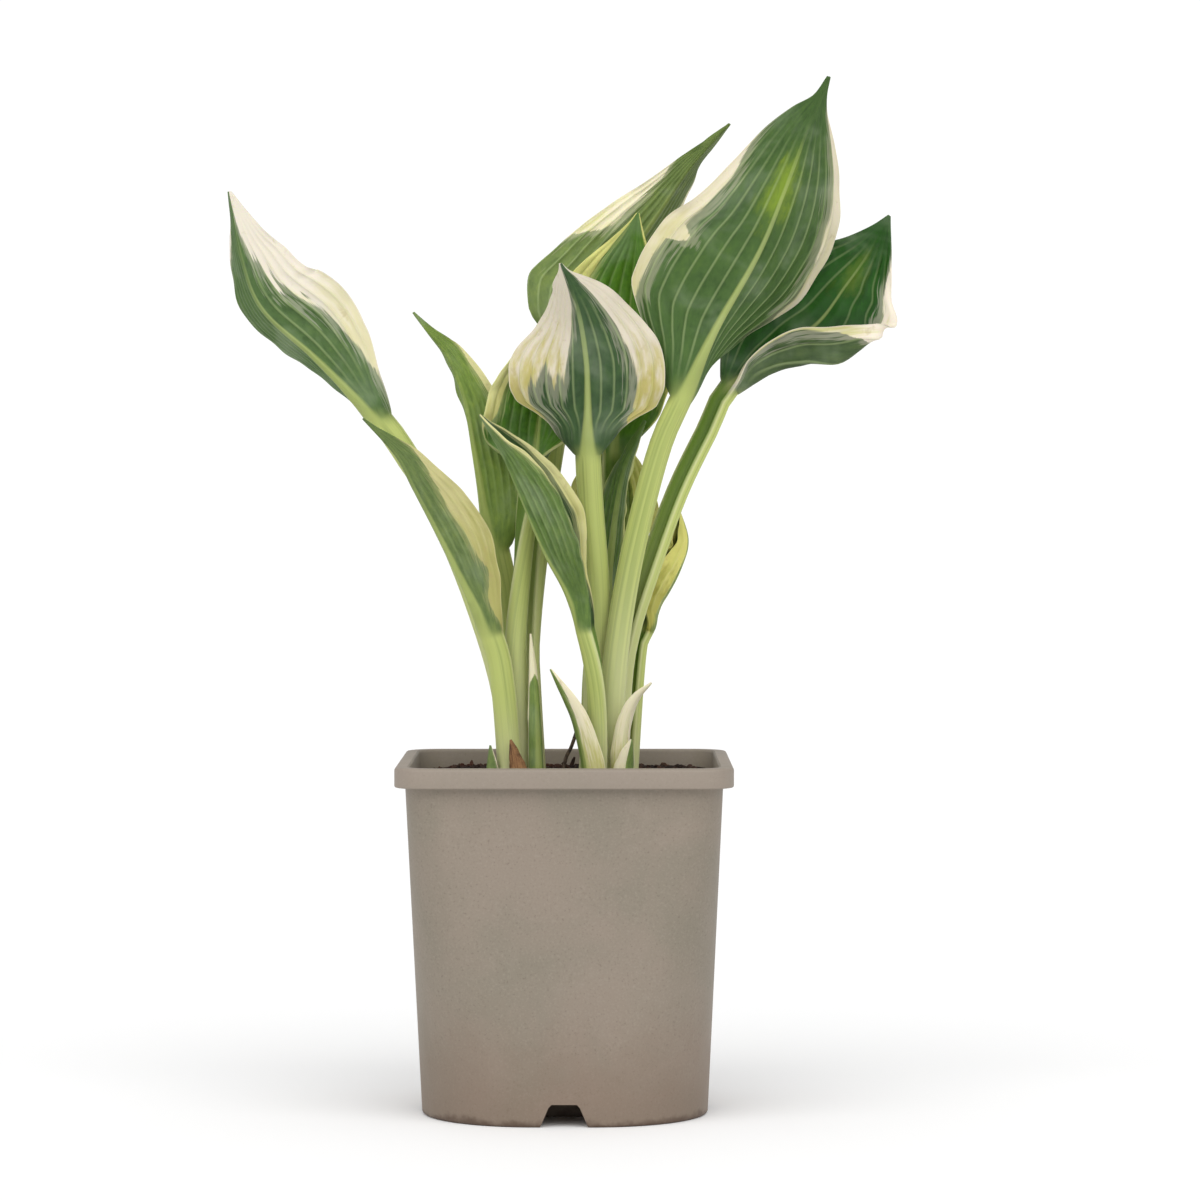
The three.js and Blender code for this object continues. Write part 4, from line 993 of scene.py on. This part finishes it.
def pot_material():
    """Taupe moulded plastic: fine speckle, rubbed patches, darker and browner towards the bottom with a
    very dark band along the foot, and a rim band painted lighter as a painted highlight.
    """
    material, bench = new_material("taupe_plastic")
    spot = bench.object_place()
    height = bench.math("DIVIDE", bench.add("ShaderNodeSeparateXYZ", {0: spot}).outputs[2], MM)
    drawn_up = bench.add("ShaderNodeMapping", {"Vector": spot, "Scale": (1, 1, 0.25)}, vector_type="POINT")
    scuffs = bench.noise(drawn_up.outputs[0], 160.0, 5.0, 0.65)
    cloud = bench.noise(spot, 28.0, 4.0, 0.6, 0.5)
    speckle = bench.noise(spot, 1500.0, 2.0, 0.7)
    foot_wander = bench.noise(spot, 90.0, 4.0, 0.7)
    low = bench.plus(height, bench.around_zero(foot_wander, -26.0))
    foot_band_height = bench.plus(height, bench.around_zero(foot_wander, -7.0))
    plastic = bench.blend(bench.ramp(cloud, 0.3, 0.7), srgb(128, 120, 106), srgb(138, 126, 113))
    for colour, mask, strength in (
        (srgb(156, 147, 134), bench.ramp(speckle, 0.5, 0.75), 0.3),
        (srgb(96, 82, 68), bench.ramp(speckle, 0.42, 0.25), 0.4),
        (srgb(152, 142, 130), bench.ramp(scuffs, 0.6, 0.78), 0.25),
        # painted highlight: the rim band above the shoulder is made lighter, as if it caught more light
        (srgb(150, 138, 127), bench.ramp(height, SHOULDER - 0.2, SHOULDER + 0.4), 0.5),
        # darker and browner towards the bottom, then a very dark brown band along the foot
        (srgb(116, 94, 78), bench.ramp(low, 38.0, 2.0), 0.5),
        (srgb(74, 54, 40), bench.ramp(foot_band_height, 2.4, 0.2), 0.75),
    ):
        plastic = bench.coat(plastic, colour, mask, strength)
    rough = bench.math("MULTIPLY_ADD", scuffs, 0.25, 0.42)
    relief = bench.math("MULTIPLY_ADD", speckle, 0.5, bench.times(scuffs, 0.6))
    dress(bench, plastic, rough, (relief, 0.12, 0.35), Specular_IOR_Level=0.4)
    return material


# ---------------------------------------------------------------- soil
def soil_height(x, y):
    waves = np.sin(x * 0.31 + 1.2) * np.cos(y * 0.27) + 0.5 * np.sin(x * 0.55 + y * 0.47)
    return SOIL_LEVEL + SOIL_LUMP * waves


def soil_ring(share, lumpy=0):
    """The rim of the fill drawn in to this share of its width, at the height of the soil there."""
    x, y, _ = np.array(inner_ring(SOIL_LEVEL, FIT_GAP)).T * share
    fine = 0.35 * np.sin(1.9 * x + 0.7 * y) * np.sin(1.6 * y - 0.5 * x)
    lumps = 0.3 * np.sin(3.1 * x + 2.0) * np.cos(2.7 * y + x)
    return np.stack([x, y, soil_height(x, y) + (fine + lumps) * lumpy], axis=1)


def soil_mesh():
    """The fill: it follows the pot's inside, and its top is a fine field of lumps."""
    rings = [inner_ring(FLOOR + FIT_GAP, FIT_GAP), inner_ring(SOIL_LEVEL - 3, FIT_GAP)]
    rings += [soil_ring(share, share < 1) for share in np.linspace(1, 0.04, 34)]
    mesh = carve("potting_soil", loft("fill", rings), [channel_bars(FLOOR + FIT_GAP)])
    mesh.shade_smooth()
    return mesh


def scatter_ground():
    """The soil's top as an open surface that crumbs are scattered over, clear of the pot's wall."""
    return loft("scatter_ground", [soil_ring(share) for share in np.linspace(0.95, 0.02, 12)], capped=False)


def soil_material(name, dark, light, redder):
    material, bench = new_material(name)
    spot = bench.object_place()
    clumps = bench.noise(spot, 260.0, 4.0, 0.7)
    flecks = bench.noise(spot, 1100.0, 3.0, 0.7)
    patches = bench.noise(spot, 90.0, 3.0, 0.6)
    earth = bench.blend(bench.ramp(clumps, 0.35, 0.65), dark, light)
    earth = bench.coat(earth, redder, bench.ramp(patches, 0.45, 0.7), 0.6)
    earth = bench.coat(earth, srgb(112, 88, 70), bench.ramp(flecks, 0.6, 0.78), 0.5)
    rough = bench.math("MULTIPLY_ADD", flecks, 0.2, 0.78)
    relief = bench.math("MULTIPLY_ADD", flecks, 0.5, clumps)
    dress(bench, earth, rough, (relief, 0.8, 0.8), Specular_IOR_Level=0.2)
    return material


# ---------------------------------------------------------------- geometry nodes
def new_shaper(name, inputs):
    """A geometry tree with these inputs besides the geometry itself."""
    return new_tree(name, "GeometryNodeTree", {"Geometry": "Geometry", **inputs}, {"Geometry": "Geometry"})


def end_shaper(bench, shape, given, made):
    """Ends a geometry tree with real faces that carry their finish."""
    whole = bench.add("GeometryNodeRealizeInstances", {0: shape})
    done = bench.add("GeometryNodeSetMaterial", {"Geometry": whole.outputs[0], "Material": given["Finish"]})
    bench.feed(made[0], done.outputs[0])


def run_tree(piece, tree, values):
    """Runs the tree on the piece with these inputs and keeps the result as a plain mesh."""
    modifier = piece.modifiers.new(tree.name, "NODES")
    modifier.node_group = tree
    for item in tree.interface.items_tree:
        if item.in_out == "INPUT" and item.name in values:
            modifier[item.identifier] = values[item.name]
    return baked(piece)


def crumb_tree():
    """Scatters lumps of soil over a surface, each turned and stretched its own way."""
    numbers = dict.fromkeys(("Crumbs per area", "Smallest", "Largest", "Stretch"), "Float")
    tree, bench, given, made = new_shaper("soil_crumbs", {**numbers, "Seed": "Int", "Finish": "Material"})
    scatter = bench.add("GeometryNodeDistributePointsOnFaces", {
        "Mesh": given["Geometry"], "Density": given["Crumbs per area"], "Seed": given["Seed"],
    })
    lump = bench.add("GeometryNodeMeshUVSphere", {"Segments": 7, "Rings": 5, "Radius": 1.0})
    turn = bench.add(
        "FunctionNodeRandomValue", {"Max": (6.28, 6.28, 6.28), "Seed": given["Seed"]},
        data_type="FLOAT_VECTOR",
    )
    size = bench.add(
        "FunctionNodeRandomValue", {2: given["Smallest"], 3: given["Largest"]}, data_type="FLOAT"
    )
    longest = bench.place(given["Stretch"], 1.1, 0.9)
    stretch = bench.add(
        "FunctionNodeRandomValue", {"Min": (0.6, 0.6, 0.5), "Max": longest}, data_type="FLOAT_VECTOR"
    )
    scale = bench.add(
        "ShaderNodeVectorMath", {0: stretch.outputs[0], "Scale": size.outputs[1]}, operation="SCALE"
    )
    placed = bench.add("GeometryNodeInstanceOnPoints", {
        "Points": scatter.outputs["Points"], "Instance": lump.outputs["Mesh"],
        "Rotation": turn.outputs[0], "Scale": scale.outputs[0],
    })
    end_shaper(bench, placed.outputs[0], given, made)
    return tree


def twig_tree():
    """Skins a path with a round section."""
    tree, bench, given, made = new_shaper("twig_skin", {"Radius": "Float", "Finish": "Material"})
    path = bench.add("GeometryNodeMeshToCurve", {"Mesh": given["Geometry"]})
    circle = bench.add("GeometryNodeCurvePrimitiveCircle", {"Resolution": 12, "Radius": given["Radius"]})
    skin = bench.add("GeometryNodeCurveToMesh", {
        "Curve": path.outputs[0], "Profile Curve": circle.outputs[0], "Fill Caps": True,
    })
    end_shaper(bench, skin.outputs[0], given, made)
    return tree


def twig_material():
    material, bench = new_material("dry_twig")
    bark = bench.noise(bench.object_place(), 900.0, 4.0, 0.7)
    colour = bench.blend(bench.ramp(bark, 0.35, 0.65), srgb(38, 30, 24), srgb(92, 76, 60))
    dress(bench, colour, bench.math("MULTIPLY_ADD", bark, 0.2, 0.75), (bark, 0.2, 0.7))
    return material


def dry_material():
    """Papery brown sheath with darker lengthwise fibres."""
    material, bench = new_material("dry_sheath")
    lengthwise = bench.place(bench.times(bench.mark("across"), 9.0), bench.mark("grown"), 0.0)
    fibres = bench.noise(lengthwise, 3.0, 4.0, 0.7)
    stains = bench.noise(bench.object_place(), 300.0, 3.0, 0.6)
    paper = bench.blend(bench.ramp(fibres, 0.35, 0.65), srgb(98, 60, 34), srgb(186, 140, 92))
    paper = bench.coat(paper, srgb(64, 38, 24), bench.ramp(stains, 0.5, 0.7), 0.7)
    dress(bench, paper, bench.math("MULTIPLY_ADD", fibres, 0.2, 0.7), (fibres, 0.3, 0.7))
    return material


def floor_material():
    material, bench = new_material("pale_floor")
    haze = bench.noise(bench.object_place(), 3.0, 2.0, 0.5)
    colour = bench.blend(haze, (0.93, 0.93, 0.93, 1), (0.95, 0.95, 0.95, 1))
    dress(bench, colour, bench.math("MULTIPLY_ADD", haze, 0.1, 0.8), Specular_IOR_Level=0.1)
    return material


# ---------------------------------------------------------------- the potted plant
skin = variegated_skin()

for number, (name, record) in enumerate(LEAVES.items()):
    whole = {**LEAF_DEFAULTS, **record}
    material = leaf_material(name, number + 1, skin, whole)
    piece = add_object("grown_" + name, leaf_mesh(name, whole), material)
    finish_piece(piece, name)

dry = dry_material()
for number, (name, record) in enumerate(SHEATHS.items()):
    whole = {**SHEATH_DEFAULTS, **record}
    is_dry = name == "sheath_left_dry"
    material = dry if is_dry else leaf_material(name, number + 21, skin, whole)
    piece = add_object("grown_" + name, leaf_mesh(name, whole), material)
    finish_piece(piece, name)

pot = add_object("nursery_pot", pot_mesh(), pot_material())
finish_piece(pot, "pot")

earth = soil_material("potting_soil", srgb(22, 16, 13), srgb(54, 40, 32), srgb(70, 40, 28))
crumbly = soil_material("soil_crumbs", srgb(26, 18, 14), srgb(68, 50, 40), srgb(86, 46, 32))
soil = add_object("potting_soil", soil_mesh(), earth)
finish_piece(soil, "soil")
crumbs = crumb_tree()
for name, density, smallest, largest, stretch, seed in (
    ("soil_crumbs", 220000.0, 0.35, 1.1, 1.4, 4),
    ("soil_lumps", 16000.0, 1.0, 1.9, 1.3, 9),
    ("soil_bark", 26000.0, 0.5, 0.9, 4.0, 15),
):
    piece = add_object(name, scatter_ground())
    run_tree(piece, crumbs, {
        "Crumbs per area": density,
        "Smallest": smallest * MM,
        "Largest": largest * MM,
        "Stretch": stretch,
        "Seed": seed,
        "Finish": crumbly,
    })
    finish_piece(piece, "soil")

path = spline(TWIG_PATH, np.linspace(0, 1, TWIG_STEPS + 1))
line = new_mesh("dry_twig", path, [], [(i, i + 1) for i in range(TWIG_STEPS)])
twig = add_object("dry_twig", line)
run_tree(twig, twig_tree(), {"Radius": TWIG_RADIUS * MM, "Finish": twig_material()})
smooth(twig.data, 60)
finish_piece(twig, "twig")


# ---------------------------------------------------------------- floor, lights and camera
def soft_sun(name, place):
    """A broad, even light that shines from this place towards the origin."""
    lamp = bpy.data.lights.new(name, "SUN")
    lamp.energy = SUN_STRENGTH
    lamp.angle = SUN_SPREAD * DEGREE
    sun = bpy.data.objects.new(name, lamp)
    bpy.context.scene.collection.objects.link(sun)
    sun.location = place
    sun.rotation_euler = (-Vector(place)).to_track_quat("-Z", "Y").to_euler()


floor_mesh = bpy.data.meshes.new("floor")
corners = [(x * FLOOR_REACH, y * FLOOR_REACH, 0) for x, y in ((-1, -1), (1, -1), (1, 1), (-1, 1))]
floor_mesh.from_pydata(corners, [], [(0, 1, 2, 3)])
floor = add_object("floor", floor_mesh, floor_material())

world = bpy.data.worlds.new("studio")
bpy.context.scene.world = world
world.use_nodes = True
world.node_tree.nodes.clear()
room = Bench(world.node_tree)
seen = room.add("ShaderNodeLightPath").outputs["Is Camera Ray"]
strength = room.between(seen, ROOM_LIGHT, BACKDROP_LIGHT)
glow = room.add("ShaderNodeBackground", {"Color": (1, 1, 1, 1), "Strength": strength})
room.add("ShaderNodeOutputWorld", {"Surface": glow.outputs[0]})

soft_sun("left_light", (-0.8, -1.3, 1.4))
soft_sun("right_light", (0.8, -1.3, 1.4))

lens = bpy.data.cameras.new("camera")
lens.sensor_width = 36
lens.lens = FOCAL_LENGTH
lens.clip_start = 0.05
lens.clip_end = 60
camera = bpy.data.objects.new("camera", lens)
bpy.context.scene.collection.objects.link(camera)
camera.location = [value * MM for value in CAMERA_PLACE]
camera.rotation_euler = ((90 - CAMERA_PITCH) * DEGREE, 0, 0)
bpy.context.scene.camera = camera
bpy.context.scene.view_settings.view_transform = "Standard"
